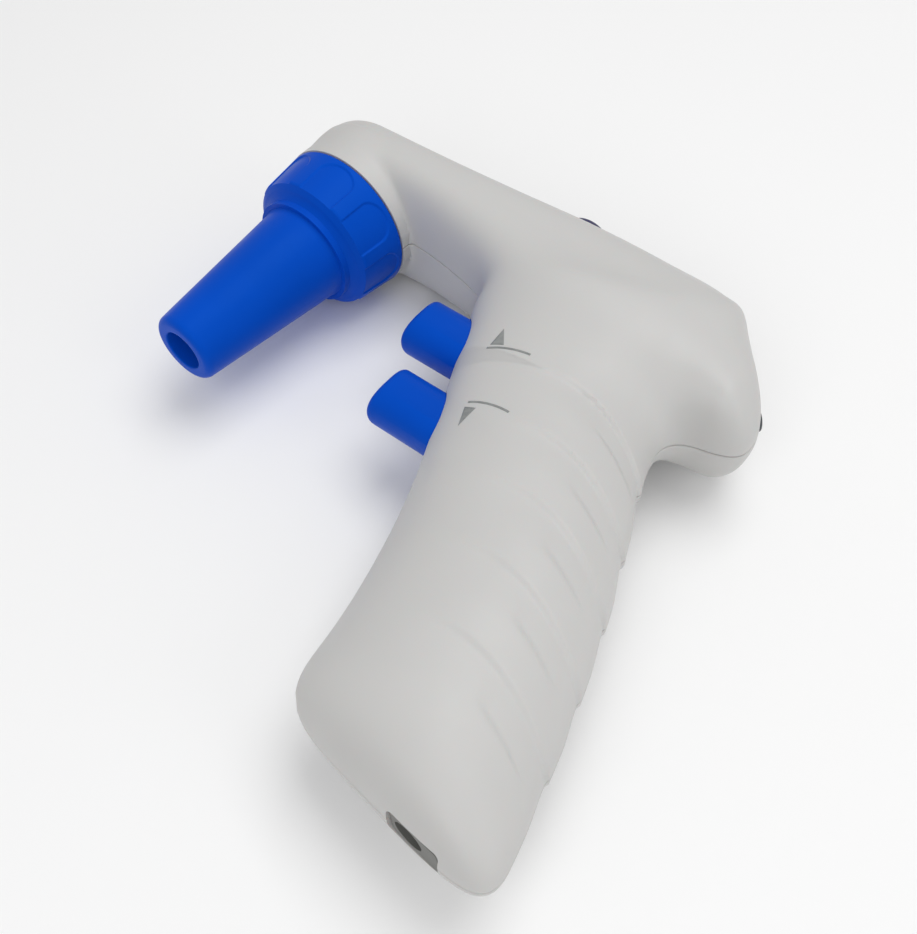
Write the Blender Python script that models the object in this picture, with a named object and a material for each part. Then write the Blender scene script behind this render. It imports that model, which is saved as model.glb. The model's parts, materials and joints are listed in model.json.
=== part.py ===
"""Motorized pipette controller: a pistol-grip suction and dispensing aid for lab pipettes.

Lengths are in millimetres and become metres when a mesh is written (MM). The design axes are
X rearwards, Y up as the controller is held, and Z to its left. The nose hangs along -Y with its
mouth at the design origin, and Z = 0 is the plane where the two housing halves meet. The whole
controller lies on its right side, so PLACE lifts it until its lowest point is at height zero.
"""
import math

import bmesh
import bpy
import numpy as np
from mathutils import Matrix, Vector

MM = 0.001

# ---- driving dimensions -----------------------------------------------------------------
PLACE = (-56.07, -16.04, 19.711)     # design origin to the centre of the footprint
GAP = 0.3                            # clearance between touching pieces
SEAM = 0.15                          # half of the gap between the two housing halves
WALL = 2.2                           # housing wall
BEYOND = 1.0                         # how far a cutter runs past the piece it cuts

# Head of the housing: stations along X with the top line, the underside and the half width.
HEAD_X = (0.0, 20.0, 40.0, 60.0, 80.0, 95.0, 100.0, 105.0, 112.0, 118.0)
HEAD_TOP = (77.0, 77.7, 79.8, 82.0, 82.5, 81.6, 80.2, 73.8, 65.9, 60.9)
HEAD_BOTTOM = (58.7, 59.5, 57.0, 53.4, 51.0, 50.0, 49.8, 49.6, 49.3, 49.3)
HEAD_HALF = (19.4, 18.8, 18.0, 17.4, 16.6, 16.1, 15.7, 15.1, 14.0, 13.2)
HEAD_POWER = 2.9                     # squareness of the head's cross-section
REAR_X = 109.4                       # the rear end starts to round off in plan here
REAR_ROUND = 8.5                     # and ends this much further back

# Grip: stations down its tilted axis with the front line, the back line and the half width.
GRIP_TILT = math.radians(16.6)
GRIP_START = (78.1, 42.0)
GRIP_T = (-25.0, 0.0, 25.0, 50.0, 75.0, 100.0)
GRIP_FRONT = (-26.6, -25.4, -21.9, -20.3, -22.0, -28.2)
GRIP_BACK = (20.4, 21.5, 24.5, 26.7, 27.1, 25.9)
GRIP_HALF = (15.2, 15.4, 15.7, 15.8, 15.7, 15.6)
GRIP_POWER = 2.1
GRIP_END = 99.8                      # where the axis meets the bottom face
GRIP_TOP = -15.0                     # the grip fades out here, inside the head
END_SLOPE = math.radians(23.4)       # bottom face against the grip's cross-section
END_CROWN = 0.02                     # rounding of the bottom face from side to side
END_ROUND = 13.7
GRIP_TOP_ROUND = 6.0
BLEND = 22.0                         # softness of the join between head and grip

# Nosepiece: a cone with a knurled collar, round the Y axis.
MOUTH_R = 5.1
MOUTH_FLAT_R = 6.9
CONE_BASE_R = 12.3
CONE_BASE_Y = 38.5
COLLAR_FRONT_R = 17.8
COLLAR_FRONT_Y = 45.9
COLLAR_BACK_R = 19.0
COLLAR_BACK_Y = 56.5
POCKETS = 8                          # shallow finger pockets round the collar
POCKET_TURN = math.radians(56.3)     # the first one's middle, from +Z towards +X
POCKET_DEPTH = 0.45
POCKET_HALF = 5.0                    # half of its width
POCKET_SHOULDER_Y = 51.5             # its sides are straight up to here
POCKET_ARCH = 3.7                    # and its end is an arch this high
NECK_R = 13.6                        # the filter seat's neck, which the nosepiece screws onto
SEAT_Y = 44.5
HOLDER_R = (2.4, 8.8, 11.6)          # pipette holder: bore, body and rim
FILTER_R = 10.5
PORT_R = 1.2                         # air passage through the filter seat
ROUND_STEPS = 32

# Triggers: rounded pads that slide rearwards into the grip's front.
PAD_HALF_Y = 7.2
PAD_HALF_Z = 6.3
PAD_CORNER = 6.1
PAD_TIP_ROUND = 1.4
PAD_CROWN = 0.035                    # the pad's face falls back by this times the square of Z
ASPIRATE = {"y": 39.3, "tip": 38.65, "flange": 61.8}
DISPENSE = {"y": 18.85, "tip": 46.2, "flange": 70.8}
FLANGE_LIP = 1.4
FLANGE_THICK = 1.8
SPRING_LENGTH = 7.4
SPRING_R = 2.9
SPRING_WIRE_R = 0.32
SPRING_TURNS = 4
SPRING_SIDES = 8
STEM_R = 1.9
STEM_FOOT = (3.6, 0.9)               # radius and thickness of the foot behind the flange
STEM_REACH = (7.2, 8.9)              # into the block: where the stem's cone begins and ends
BORE_REACH = (11.0, 12.7)            # and the same for its bore
TRAVEL = 3.5                         # how far a trigger slides in
SWITCH_Z = (-10.3, -5.8)             # motor switches, beside the stems
SWITCH_LENGTH = 5.6
SWITCH_HALF = 3.0
BUTTON_Z = (-7.5, -6.1)
BUTTON_RISE = 0.7
BUTTON_HALF = 1.2
BLOCK_HALF = 5.4                     # valve block: half thickness
BLOCK_DEPTH = (14.0, 13.0)           # behind its upper and lower faces
BLOCK_EDGE = (8.0, 7.0)              # above the upper stem and below the lower one

# Mode switch on the top of the head, indicator at the rear, charging socket at the bottom.
MODE_X = 54.0
KNOB_BASE = 82.6
KNOB_R = 7.0
KNOB_RISE = 4.5
KNOB_EDGE = 1.5                      # rounding of the knob's upper edge
MODE_SLOT = (5.6, 2.9, 1.5)          # half length, half width and corner of its slot
SWITCH_TOP_Y = 77.6
INDICATOR = (110.0, 57.2)            # a point on the indicator's axis
INDICATOR_TURN = math.radians(41.0)
LENS_R = 2.4
SOCKET = (114.45, -53.8)
SOCKET_TURN = -math.radians(5.9)
PLATE = (11.8, 9.2, 1.5)             # length, width and thickness of the socket's plate
PLATE_SHIFT = 1.5                    # the plate's middle behind the jack's axis
PLATE_HOLE_R = 3.3
JACK_HALF = 4.0
JACK_BORE_R = 2.8
JACK_PIN_R = 1.0

# Pump and motor, on the head's axis behind the valves.
PUMP_X = (62.4, 76.6)
PUMP_Y = (56.4, 74.6)
PUMP_HALF = 9.0
CHAMBER_R = 6.2
CHAMBER_DEPTH = 6.0
MOTOR_X = (78.1, 100.6)
MOTOR_Y = 65.5
MOTOR_R = 9.6
MOTOR_BORE_R = 2.4
SHAFT_R = 1.0
CAM_R = 3.4
CAM_OFFSET = 1.3                     # eccentricity of the pump's drive
NOSE_TUBE_R = 2.1
PUMP_TUBE_R = 1.7
LEAD_R = 0.6

# Power, in the grip: two cells in a cradle, and the circuit board on their left.
CELL_R = 7.15
CELL_T = (35.5, 84.5)
CELL_U = (-2.6, 12.3)
CRADLE_U = 16.3                      # the cradle's rear edge
CRADLE_Z = (-9.2, -3.0)
LINK_HALF = 2.6
LINK_THICK = 0.4
BOARD_T = 58.0                       # the board's middle down the grip
BOARD_HALF = (11.0, 20.0)
BOARD_Z = (8.9, 10.3)
CHIP_SIDE = 8.0
CHIP_THICK = 1.2

# Screws that hold the halves together, driven in from the right.
SCREW_HEAD_Z = -7.5
SCREW_TIP_Z = 7.8
SCREW_R = 1.15
SCREW_HEAD_R = 2.3
WELL_R = 2.7                         # access hole above a screw's head
CLEARANCE_R = 1.5                    # hole round its shank
PILOT_R = 1.3
BOSS_R = (3.0, 3.8)                  # bosses of the left and the right half

# ---- colours ----------------------------------------------------------------------------
FINISHES = {
    "housing_grey": ((0.60, 0.595, 0.585), 0.55, 0.0),
    "blue_plastic": ((0.010, 0.085, 0.52), 0.42, 0.0),
    "silicone": ((0.72, 0.73, 0.72), 0.65, 0.0),
    "filter_white": ((0.85, 0.85, 0.83), 0.8, 0.0),
    "white_plastic": ((0.78, 0.78, 0.76), 0.5, 0.0),
    "black_rubber": ((0.02, 0.02, 0.02), 0.7, 0.0),
    "steel": ((0.60, 0.60, 0.61), 0.3, 1.0),
    "brass": ((0.70, 0.52, 0.22), 0.35, 1.0),
    "dark_plastic": ((0.03, 0.03, 0.035), 0.5, 0.0),
    "navy_plastic": ((0.05, 0.05, 0.11), 0.45, 0.0),
    "plate_grey": ((0.17, 0.17, 0.16), 0.5, 0.0),
    "lens": ((0.10, 0.11, 0.12), 0.15, 0.0),
    "board_green": ((0.02, 0.16, 0.07), 0.5, 0.0),
    "cell_sleeve": ((0.03, 0.22, 0.10), 0.4, 0.0),
    "foam": ((0.06, 0.06, 0.06), 0.95, 0.0),
    "lead_red": ((0.45, 0.02, 0.02), 0.5, 0.0),
    "lead_black": ((0.02, 0.02, 0.02), 0.5, 0.0),
}


# ---- scene helpers ----------------------------------------------------------------------
def clear_scene():
    for thing in list(bpy.data.objects):
        bpy.data.objects.remove(thing, do_unlink=True)


def finish_material(slot):
    """The Principled material of one finish, made the first time it is asked for."""
    found = bpy.data.materials.get(slot)
    if found:
        return found
    colour, roughness, metallic = FINISHES[slot]
    made = bpy.data.materials.new(slot)
    made.use_nodes = True
    shader = made.node_tree.nodes["Principled BSDF"]
    shader.inputs["Base Color"].default_value = (*colour, 1.0)
    shader.inputs["Roughness"].default_value = roughness
    shader.inputs["Metallic"].default_value = metallic
    return made


def place_empty():
    """The empty that carries the whole controller from design axes to its resting place."""
    holder = bpy.data.objects.new("place", None)
    holder.location = Vector(PLACE) * MM
    bpy.context.scene.collection.objects.link(holder)
    return holder


def add(holder, name, data, slot, origin=(0.0, 0.0, 0.0)):
    """Link one piece whose mesh or curve is already in metres about its origin."""
    piece = bpy.data.objects.new(name, data)
    piece.location = Vector(origin) * MM
    piece.parent = holder
    if slot:
        data.materials.append(finish_material(slot))
    bpy.context.scene.collection.objects.link(piece)
    return piece


def mesh_from(bm, name, origin=(0.0, 0.0, 0.0), smooth_angle=35.0):
    """Turn a bmesh in millimetres into a mesh in metres about the given origin."""
    bmesh.ops.remove_doubles(bm, verts=bm.verts, dist=0.0001)
    bmesh.ops.recalc_face_normals(bm, faces=bm.faces)
    bm.transform(Matrix.Scale(MM, 4) @ Matrix.Translation(-Vector(origin)))
    mesh = bpy.data.meshes.new(name)
    bm.to_mesh(mesh)
    bm.free()
    mesh.shade_smooth()
    mesh.set_sharp_from_angle(angle=math.radians(smooth_angle))
    return mesh


def boolean(target, tool, operation):
    """Cut or join a tool into a piece with an exact Boolean; the tool is only a guide."""
    tool.hide_render = True
    tool.display_type = "WIRE"
    modifier = target.modifiers.new(tool.name, "BOOLEAN")
    modifier.operation = operation
    modifier.solver = "EXACT"
    modifier.object = tool


# ---- shapes in millimetres --------------------------------------------------------------
def turned(profile, steps=ROUND_STEPS, axis="y", centre=(0.0, 0.0, 0.0)):
    """Revolve a closed outline of (radius, height) points about a line along one axis."""
    bm = bmesh.new()
    if axis == "y":
        points = [Vector((r, h, 0.0)) for r, h in profile]
        line = Vector((0.0, 1.0, 0.0))
    elif axis == "x":
        points = [Vector((h, r, 0.0)) for r, h in profile]
        line = Vector((1.0, 0.0, 0.0))
    else:
        points = [Vector((r, 0.0, h)) for r, h in profile]
        line = Vector((0.0, 0.0, 1.0))
    ring = [bm.verts.new(p) for p in points]
    edges = [bm.edges.new((a, b)) for a, b in zip(ring, ring[1:] + ring[:1])]
    bmesh.ops.spin(bm, geom=ring + edges, cent=(0, 0, 0), axis=line, dvec=(0, 0, 0),
                   angle=math.tau, steps=steps, use_merge=False, use_duplicate=False)
    bmesh.ops.remove_doubles(bm, verts=bm.verts, dist=0.0005)
    flat = [f for f in bm.faces if f.calc_area() < 1e-9]
    bmesh.ops.delete(bm, geom=flat, context="FACES_ONLY")
    loose = [e for e in bm.edges if not e.link_faces]
    bmesh.ops.delete(bm, geom=loose, context="EDGES")
    bm.transform(Matrix.Translation(Vector(centre)))
    return bm


def prism(outline, low, high, axis="z"):
    """Extrude a closed outline of (a, b) points from low to high along one axis."""
    bm = bmesh.new()
    order = {"z": lambda a, b, h: (a, b, h), "x": lambda a, b, h: (h, a, b),
             "y": lambda a, b, h: (a, h, b)}[axis]
    bottom = [bm.verts.new(order(a, b, low)) for a, b in outline]
    top = [bm.verts.new(order(a, b, high)) for a, b in outline]
    bm.faces.new(bottom)
    bm.faces.new(top)
    count = len(outline)
    for i in range(count):
        j = (i + 1) % count
        bm.faces.new((bottom[i], bottom[j], top[j], top[i]))
    bmesh.ops.recalc_face_normals(bm, faces=bm.faces)
    return bm


def rounded_rectangle(half_a, half_b, corner, steps=4, centre=(0.0, 0.0)):
    """Outline of a rectangle with round corners, counter-clockwise."""
    points = []
    for quarter in range(4):
        ca = (half_a - corner) * (1 if quarter in (0, 3) else -1)
        cb = (half_b - corner) * (1 if quarter < 2 else -1)
        for k in range(steps + 1):
            turn = math.pi / 2 * (quarter + k / steps)
            points.append((centre[0] + ca + corner * math.cos(turn),
                           centre[1] + cb + corner * math.sin(turn)))
    return points


def lofted(sections):
    """Close a body through matching rings of points, with flat ends."""
    bm = bmesh.new()
    loops = [[bm.verts.new(p) for p in ring] for ring in sections]
    count = len(loops[0])
    for first, second in zip(loops, loops[1:]):
        for i in range(count):
            j = (i + 1) % count
            bm.faces.new((first[i], first[j], second[j], second[i]))
    bm.faces.new(loops[0])
    bm.faces.new(loops[-1])
    return bm


def box(low, high):
    """A plain block between two corners."""
    outline = [(low[0], low[1]), (high[0], low[1]), (high[0], high[1]), (low[0], high[1])]
    return prism(outline, low[2], high[2])


def disc(radius, low, high, axis, centre, steps=24):
    """A plain cylinder between two heights on an axis through centre."""
    return turned([(0.0, low), (radius, low), (radius, high), (0.0, high)], steps, axis, centre)


def merge(*parts):
    """Gather several bmeshes into one."""
    whole = bmesh.new()
    for part in parts:
        holder = bpy.data.meshes.new("part")
        part.to_mesh(holder)
        part.free()
        whole.from_mesh(holder)
        bpy.data.meshes.remove(holder)
    return whole


def smooth_path(points, spacing=2.0):
    """Points at an even spacing along a Catmull-Rom curve through the given points."""
    knots = [Vector(p) for p in points]
    knots = [2 * knots[0] - knots[1]] + knots + [2 * knots[-1] - knots[-2]]
    path = []
    for i in range(1, len(knots) - 2):
        before, start, end, after = knots[i - 1:i + 3]
        count = max(1, round((end - start).length / spacing))
        for k in range(count):
            s = k / count
            path.append(0.5 * (2 * start + (end - before) * s
                               + (2 * before - 5 * start + 4 * end - after) * s ** 2
                               + (3 * start - before - 3 * end + after) * s ** 3))
    path.append(knots[-2])
    return path


def wire(name, points, radius, resolution=2, origin=(0.0, 0.0, 0.0)):
    """A round wire or tube along points, as a curve with filled caps."""
    curve = bpy.data.curves.new(name, "CURVE")
    curve.dimensions = "3D"
    curve.bevel_depth = radius * MM
    curve.bevel_resolution = resolution
    curve.use_fill_caps = True
    spline = curve.splines.new("POLY")
    spline.points.add(len(points) - 1)
    for target, point in zip(spline.points, points):
        target.co = (*((Vector(point) - Vector(origin)) * MM), 1.0)
    return curve


# ---- the housing's outer form -----------------------------------------------------------
def along(stations, values, at):
    """Smooth cubic through station values, held flat beyond both ends."""
    s = np.asarray(stations)
    v = np.asarray(values)
    step = np.diff(s)
    slope = np.diff(v) / step
    tangent = np.empty(len(s))
    tangent[0] = slope[0]
    tangent[-1] = slope[-1]
    tangent[1:-1] = (slope[:-1] * step[1:] + slope[1:] * step[:-1]) / (step[1:] + step[:-1])
    at = np.clip(at, s[0], s[-1])
    i = np.clip(np.searchsorted(s, at) - 1, 0, len(s) - 2)
    h = step[i]
    t = (at - s[i]) / h
    return (v[i] * (1 + 2 * t) * (1 - t) ** 2 + v[i + 1] * t * t * (3 - 2 * t)
            + tangent[i] * h * t * (1 - t) ** 2 - tangent[i + 1] * h * t * t * (1 - t))


def soft_min(a, b, softness):
    """Smaller of two fields, with a round transition."""
    h = np.maximum(softness - np.abs(a - b), 0.0) / softness
    return np.minimum(a, b) - h ** 3 * softness / 6.0


def soft_max(a, b, softness):
    return -soft_min(-a, -b, softness)


def head_field(x, y, z):
    """Signed field of the head, negative inside; both ends round off in plan."""
    top = along(HEAD_X, HEAD_TOP, x)
    bottom = along(HEAD_X, HEAD_BOTTOM, x)
    half = along(HEAD_X, HEAD_HALF, x)
    ahead = np.maximum(HEAD_X[0] - x, 0.0)
    behind = np.maximum(x - REAR_X, 0.0) * half / REAR_ROUND
    reach = np.sqrt(z * z + ahead ** 2 + behind ** 2)
    middle = (top + bottom) / 2
    height = (top - bottom) / 2
    r = ((reach / half) ** HEAD_POWER
         + np.abs((y - middle) / height) ** HEAD_POWER) ** (1 / HEAD_POWER)
    body = (r - 1) * np.minimum(half, height)
    # The skirt round the nose carries the head's full width down to the collar.
    skirt = soft_max(np.sqrt(x * x + z * z) - COLLAR_BACK_R - 0.1, np.abs(y - 59.0) - 9.0, 1.0)
    return soft_min(body, skirt, 2.0)


def grip_axes(x, y):
    """Distance down the grip's axis and across it, rearwards."""
    c, s = math.cos(GRIP_TILT), math.sin(GRIP_TILT)
    dx, dy = x - GRIP_START[0], y - GRIP_START[1]
    return dx * s - dy * c, dx * c + dy * s


def grip_point(t, u):
    """Design X and Y of a place in the grip, t down its axis and u across it."""
    c, s = math.cos(GRIP_TILT), math.sin(GRIP_TILT)
    return GRIP_START[0] + t * s + u * c, GRIP_START[1] - t * c + u * s


def grip_field(x, y, z):
    """Signed field of the grip, negative inside, with its rounded bottom."""
    t, u = grip_axes(x, y)
    front = along(GRIP_T, GRIP_FRONT, t)
    back = along(GRIP_T, GRIP_BACK, t)
    half = along(GRIP_T, GRIP_HALF, t)
    middle = (front + back) / 2
    depth = (back - front) / 2
    r = (np.abs(z / half) ** GRIP_POWER
         + np.abs((u - middle) / depth) ** GRIP_POWER) ** (1 / GRIP_POWER)
    sides = (r - 1) * np.minimum(half, depth)
    end = (t - GRIP_END - math.tan(END_SLOPE) * u) * math.cos(END_SLOPE) + END_CROWN * z * z
    return soft_max(soft_max(sides, end, END_ROUND), GRIP_TOP - t, GRIP_TOP_ROUND)


def housing_field(p):
    """Signed field of the whole housing at points (..., 3)."""
    x, y, z = p[..., 0], p[..., 1], p[..., 2]
    return soft_min(head_field(x, y, z), grip_field(x, y, z), BLEND)


def field_slope(p, step=0.05):
    """Steepness of the field, by central differences: 1 where it is a true distance."""
    steps = np.eye(3) * step
    grad = np.stack([housing_field(p + d) - housing_field(p - d) for d in steps], -1)
    return np.linalg.norm(grad, axis=-1) / (2 * step)


def surface_from(origin, direction, level=0.0):
    """Where rays from inside the housing reach a level of its field, by bisection."""
    low = np.zeros(direction.shape[:-1] + (1,))
    high = np.full_like(low, 80.0)
    for _ in range(40):
        middle = (low + high) / 2
        inside = (housing_field(origin + direction * middle) < level)[..., None]
        low = np.where(inside, middle, low)
        high = np.where(inside, high, middle)
    return origin + direction * low


def side_height(x, y):
    """Half width of the housing at a place in the symmetry plane."""
    start = np.array([[x, y, 0.0]])
    return float(surface_from(start, np.array([[0.0, 0.0, 1.0]]))[0, 2])


# ---- the housing's mesh: rays from a spine inside the head and the grip ------------------
SPINE_FRONT = (0.0, 67.0)
SPINE_JOIN = (70.5, 65.0)
SPINE_REAR = (98.0, 64.0)
SPINE_FOOT = grip_point(86.0, 1.0)
FRONT_PIVOT = (30.0, 35.0)           # rays into the concave corner before the grip meet here
REAR_PIVOT = (122.0, 36.0)           # and those into the saddle behind it meet here


def between(start, end, count):
    return [(start[0] + (end[0] - start[0]) * k / count, start[1] + (end[1] - start[1]) * k / count)
            for k in range(count + 1)]


def angle_to(node, target):
    return math.atan2(target[1] - node[1], target[0] - node[0])


def outline_rays(density):
    """Spine node and ray angle of each station round the housing, in order."""
    head = between(SPINE_FRONT, SPINE_JOIN, round(11 * density))
    tail = between(SPINE_JOIN, SPINE_REAR, round(7 * density))
    grip = between(SPINE_JOIN, SPINE_FOOT, round(14 * density))
    rays = [(node, math.pi / 2) for node in reversed(head[1:])]
    fan = round(8 * density)
    rays += [(head[0], math.pi / 2 + math.pi * k / fan) for k in range(fan)]
    # Underside of the head and front of the grip, through the concave corner.
    forward = GRIP_TILT - math.pi
    for node in head + grip[1:]:
        aim = -math.pi / 2
        if node[0] > FRONT_PIVOT[0]:
            aim = max(angle_to(node, FRONT_PIVOT), forward)
        if node in grip and grip.index(node) > len(grip) // 2:
            aim = forward
        rays.append((node, aim))
    # Bottom of the grip: rays at evenly spaced places on the bottom face.
    foot = round(9 * density)
    corner = grip_point(112.0, 27.0)
    face = between(grip_point(89.0, -24.0), corner, foot)
    for target in face + between(corner, grip_point(86.0, 27.0), round(5 * density))[1:-1]:
        rays.append((grip[-1], angle_to(grip[-1], target)))
    # Back of the grip, the saddle, and the underside of the rear end.
    for node in list(reversed(grip)) + tail[1:]:
        rays.append((node, min(angle_to(node, REAR_PIVOT), GRIP_TILT)))
    # Rear end, then forward along the top.
    first = angle_to(tail[-1], REAR_PIVOT)
    fan = round(10 * density)
    rays += [(tail[-1], first + (math.pi / 2 - first) * k / fan) for k in range(1, fan)]
    rays += [(node, math.pi / 2) for node in reversed(tail)]
    return rays[:-1] if rays[-1] == rays[0] else rays


def half_shell(side, density=0.8, layers=5):
    """One half of the housing as a closed wall: side is +1 for the left, -1 for the right."""
    rays = outline_rays(density)
    lifts = np.linspace(0.0, math.pi / 2, layers + 1)
    nodes = np.array([[*node, 0.0] for node, _ in rays])[:, None, :]
    flat = np.array([[math.cos(a), math.sin(a)] for _, a in rays])
    direction = np.stack([flat[:, None, 0] * np.cos(lifts), flat[:, None, 1] * np.cos(lifts),
                          np.broadcast_to(np.sin(lifts), (len(rays), layers + 1))], -1)
    outer = surface_from(nodes, direction)
    inner = surface_from(nodes, direction, -WALL * field_slope(outer))
    outer[:, 0, 2] = SEAM
    inner[:, 0, 2] = SEAM
    bm = bmesh.new()
    grids = []
    for skin in (outer, inner):
        skin = skin * np.array([1.0, 1.0, side])
        grids.append([[bm.verts.new(point) for point in row] for row in skin])
    count = len(rays)
    for grid in grids:
        for i in range(count):
            following = grid[(i + 1) % count]
            for j in range(layers):
                bm.faces.new((grid[i][j], following[j], following[j + 1], grid[i][j + 1]))
    for i in range(count):
        j = (i + 1) % count
        bm.faces.new((grids[0][i][0], grids[0][j][0], grids[1][j][0], grids[1][i][0]))
    bmesh.ops.remove_doubles(bm, verts=bm.verts, dist=0.0005)
    bmesh.ops.triangulate(bm, faces=bm.faces)
    return bm


def screw_places():
    """Where the five housing screws stand in the symmetry plane."""
    return [(23.5, 64.0), (102.3, 51.7), grip_point(45.0, -15.2), grip_point(88.5, -14.0),
            grip_point(90.0, 19.3)]


def make_housing(holder):
    """Both half shells with their screw bosses and every opening in the walls."""
    for name, side in (("left", 1.0), ("right", -1.0)):
        mesh = mesh_from(half_shell(side), name, smooth_angle=50.0)
        half = add(holder, f"housing_{name}", mesh, "housing_grey")
        bosses, holes = [], []
        for x, y in screw_places():
            reach = side_height(x, y) - WALL * 0.55
            if side > 0:
                bosses.append(disc(BOSS_R[0], 2 * SEAM, reach, "z", (x, y, 0.0), 16))
                holes.append(disc(PILOT_R, -BEYOND, SCREW_TIP_Z + 1.0, "z", (x, y, 0.0), 12))
            else:
                bosses.append(disc(BOSS_R[1], -reach, -2 * SEAM, "z", (x, y, 0.0), 16))
                holes.append(screw_well(x, y))
        outer, through = housing_openings()
        steps = (("openings", merge(*outer), "DIFFERENCE"),
                 ("passages", merge(*through), "DIFFERENCE"),
                 ("bosses", merge(*bosses), "UNION"),
                 ("screw_holes", merge(*holes), "DIFFERENCE"))
        for label, body, operation in steps:
            tool = add(holder, f"{label}_{name}", mesh_from(body, label), None)
            boolean(half, tool, operation)


def screw_well(x, y):
    """Stepped screw hole of the right half: a wide well and a clearance hole."""
    profile = [(0.0, -30.0), (WELL_R, -30.0), (WELL_R, SCREW_HEAD_Z), (CLEARANCE_R, SCREW_HEAD_Z),
               (CLEARANCE_R, BEYOND), (0.0, BEYOND)]
    return turned(profile, 16, "z", (x, y, 0.0))


def housing_openings():
    """Cutters through the walls: the outer openings, and the passages that start in them."""
    slot = rounded_rectangle(PAD_HALF_Y + GAP, PAD_HALF_Z + GAP, PAD_CORNER + GAP, 4)
    outer = [disc(25.0, 30.0, COLLAR_BACK_Y + GAP, "y", (0.0, 0.0, 0.0), 48)]
    for trigger in (ASPIRATE, DISPENSE):
        outline = [(trigger["y"] + a, b) for a, b in slot]
        outer.append(prism(outline, trigger["tip"] - 4.0, trigger["flange"] + BEYOND, "x"))
    mode = rounded_rectangle(*MODE_SLOT, 3, (MODE_X, 0.0))
    outer.append(prism(mode, 74.0, 90.0, "y"))
    hole = disc(LENS_R + GAP, 3.0, 20.0, "x", (0.0, 0.0, 0.0), 20)
    hole.transform(indicator_frame())
    outer.append(hole)
    recess = box((PLATE_SHIFT - PLATE[0] / 2 - GAP, -6.0, -PLATE[1] / 2 - GAP),
                 (PLATE_SHIFT + PLATE[0] / 2 + GAP, PLATE[2] + 0.2, PLATE[1] / 2 + GAP))
    recess.transform(socket_frame())
    outer.append(recess)
    room = JACK_HALF + GAP
    opening = box((-room, -7.0, -room), (room, 8.0, room))
    opening.transform(socket_frame())
    through = [disc(NECK_R + GAP, 40.0, 62.0, "y", (0.0, 0.0, 0.0), 32), opening]
    return outer, through


def socket_frame():
    """Local axes of the charging socket: X rearwards along the bottom face, Y inwards."""
    return Matrix.Translation((*SOCKET, 0.0)) @ Matrix.Rotation(SOCKET_TURN, 4, "Z")


def indicator_frame():
    """Local axes of the indicator: X outwards through the rear end."""
    return (Matrix.Translation((*INDICATOR, 0.0))
            @ Matrix.Rotation(INDICATOR_TURN, 4, "Z"))


# ---- nose -------------------------------------------------------------------------------
def arc(centre, radius, start, end, steps):
    """Points on a circle in (radius, height) space, angles in degrees."""
    return [(centre[0] + radius * math.cos(math.radians(start + (end - start) * k / steps)),
             centre[1] + radius * math.sin(math.radians(start + (end - start) * k / steps)))
            for k in range(steps + 1)]


def make_nose(holder):
    """Nosepiece, silicone pipette holder, filter, filter seat and its seal."""
    outer = [(MOUTH_R, 0.0), (MOUTH_FLAT_R, 0.0)]
    outer += arc((MOUTH_FLAT_R, 1.9), 1.9, -60, -8, 3)
    outer += [(CONE_BASE_R, CONE_BASE_Y)]
    outer += arc((CONE_BASE_R + 3.0, CONE_BASE_Y + 0.9), 3.0, 165, 95, 4)
    outer += [(COLLAR_FRONT_R - 1.0, COLLAR_FRONT_Y - 1.3), (COLLAR_FRONT_R, COLLAR_FRONT_Y),
              (COLLAR_BACK_R, COLLAR_BACK_Y - 0.4), (COLLAR_BACK_R - 0.4, COLLAR_BACK_Y)]
    inner = [(NECK_R + GAP, COLLAR_BACK_Y), (NECK_R + GAP, SEAT_Y - 3.6), (9.6, SEAT_Y - 3.6),
             (6.9, 7.0), (MOUTH_R, 7.0)]
    body = turned(outer + inner, ROUND_STEPS)
    nose = add(holder, "nosepiece", mesh_from(body, "nosepiece"), "blue_plastic")
    for k in range(POCKETS):
        tool = add(holder, f"recess_{k + 1}", mesh_from(collar_recess(k), "recess"), None)
        boolean(nose, tool, "DIFFERENCE")

    bore, side, rim = HOLDER_R
    grip = [(3.2, 9.0), (6.0, 9.0), (side, SEAT_Y - 6.0), (side, SEAT_Y - 3.3),
            (rim, SEAT_Y - 3.3), (rim, SEAT_Y - 2.2), (bore, SEAT_Y - 2.2), (bore, 32.0),
            (4.2, 12.0)]
    body = turned(grip, 24)
    add(holder, "pipette_holder", mesh_from(body, "pipette_holder"), "silicone")
    body = disc(FILTER_R, SEAT_Y - 1.9, SEAT_Y - 0.3, "y", (0.0, 0.0, 0.0), 24)
    add(holder, "membrane_filter", mesh_from(body, "membrane_filter"), "filter_white")

    neck_top = COLLAR_BACK_Y + GAP + WALL + GAP
    seat = [(PORT_R, SEAT_Y), (NECK_R, SEAT_Y), (NECK_R, 50.2), (NECK_R - 0.9, 50.6),
            (NECK_R - 0.9, 52.0), (NECK_R, 52.4), (NECK_R, neck_top), (15.6, neck_top),
            (15.6, neck_top + 2.0), (5.0, neck_top + 2.0), (3.0, neck_top + 3.4),
            (1.9, neck_top + 6.0), (PORT_R, neck_top + 6.0)]
    add(holder, "filter_seat", mesh_from(turned(seat, 24), "filter_seat"), "white_plastic")
    ring = arc((NECK_R - 0.1, 51.3), 0.36, 0, 300, 5)
    body = turned(ring, 24)
    add(holder, "nose_o_ring", mesh_from(body, "nose_o_ring"), "black_rubber")


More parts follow.
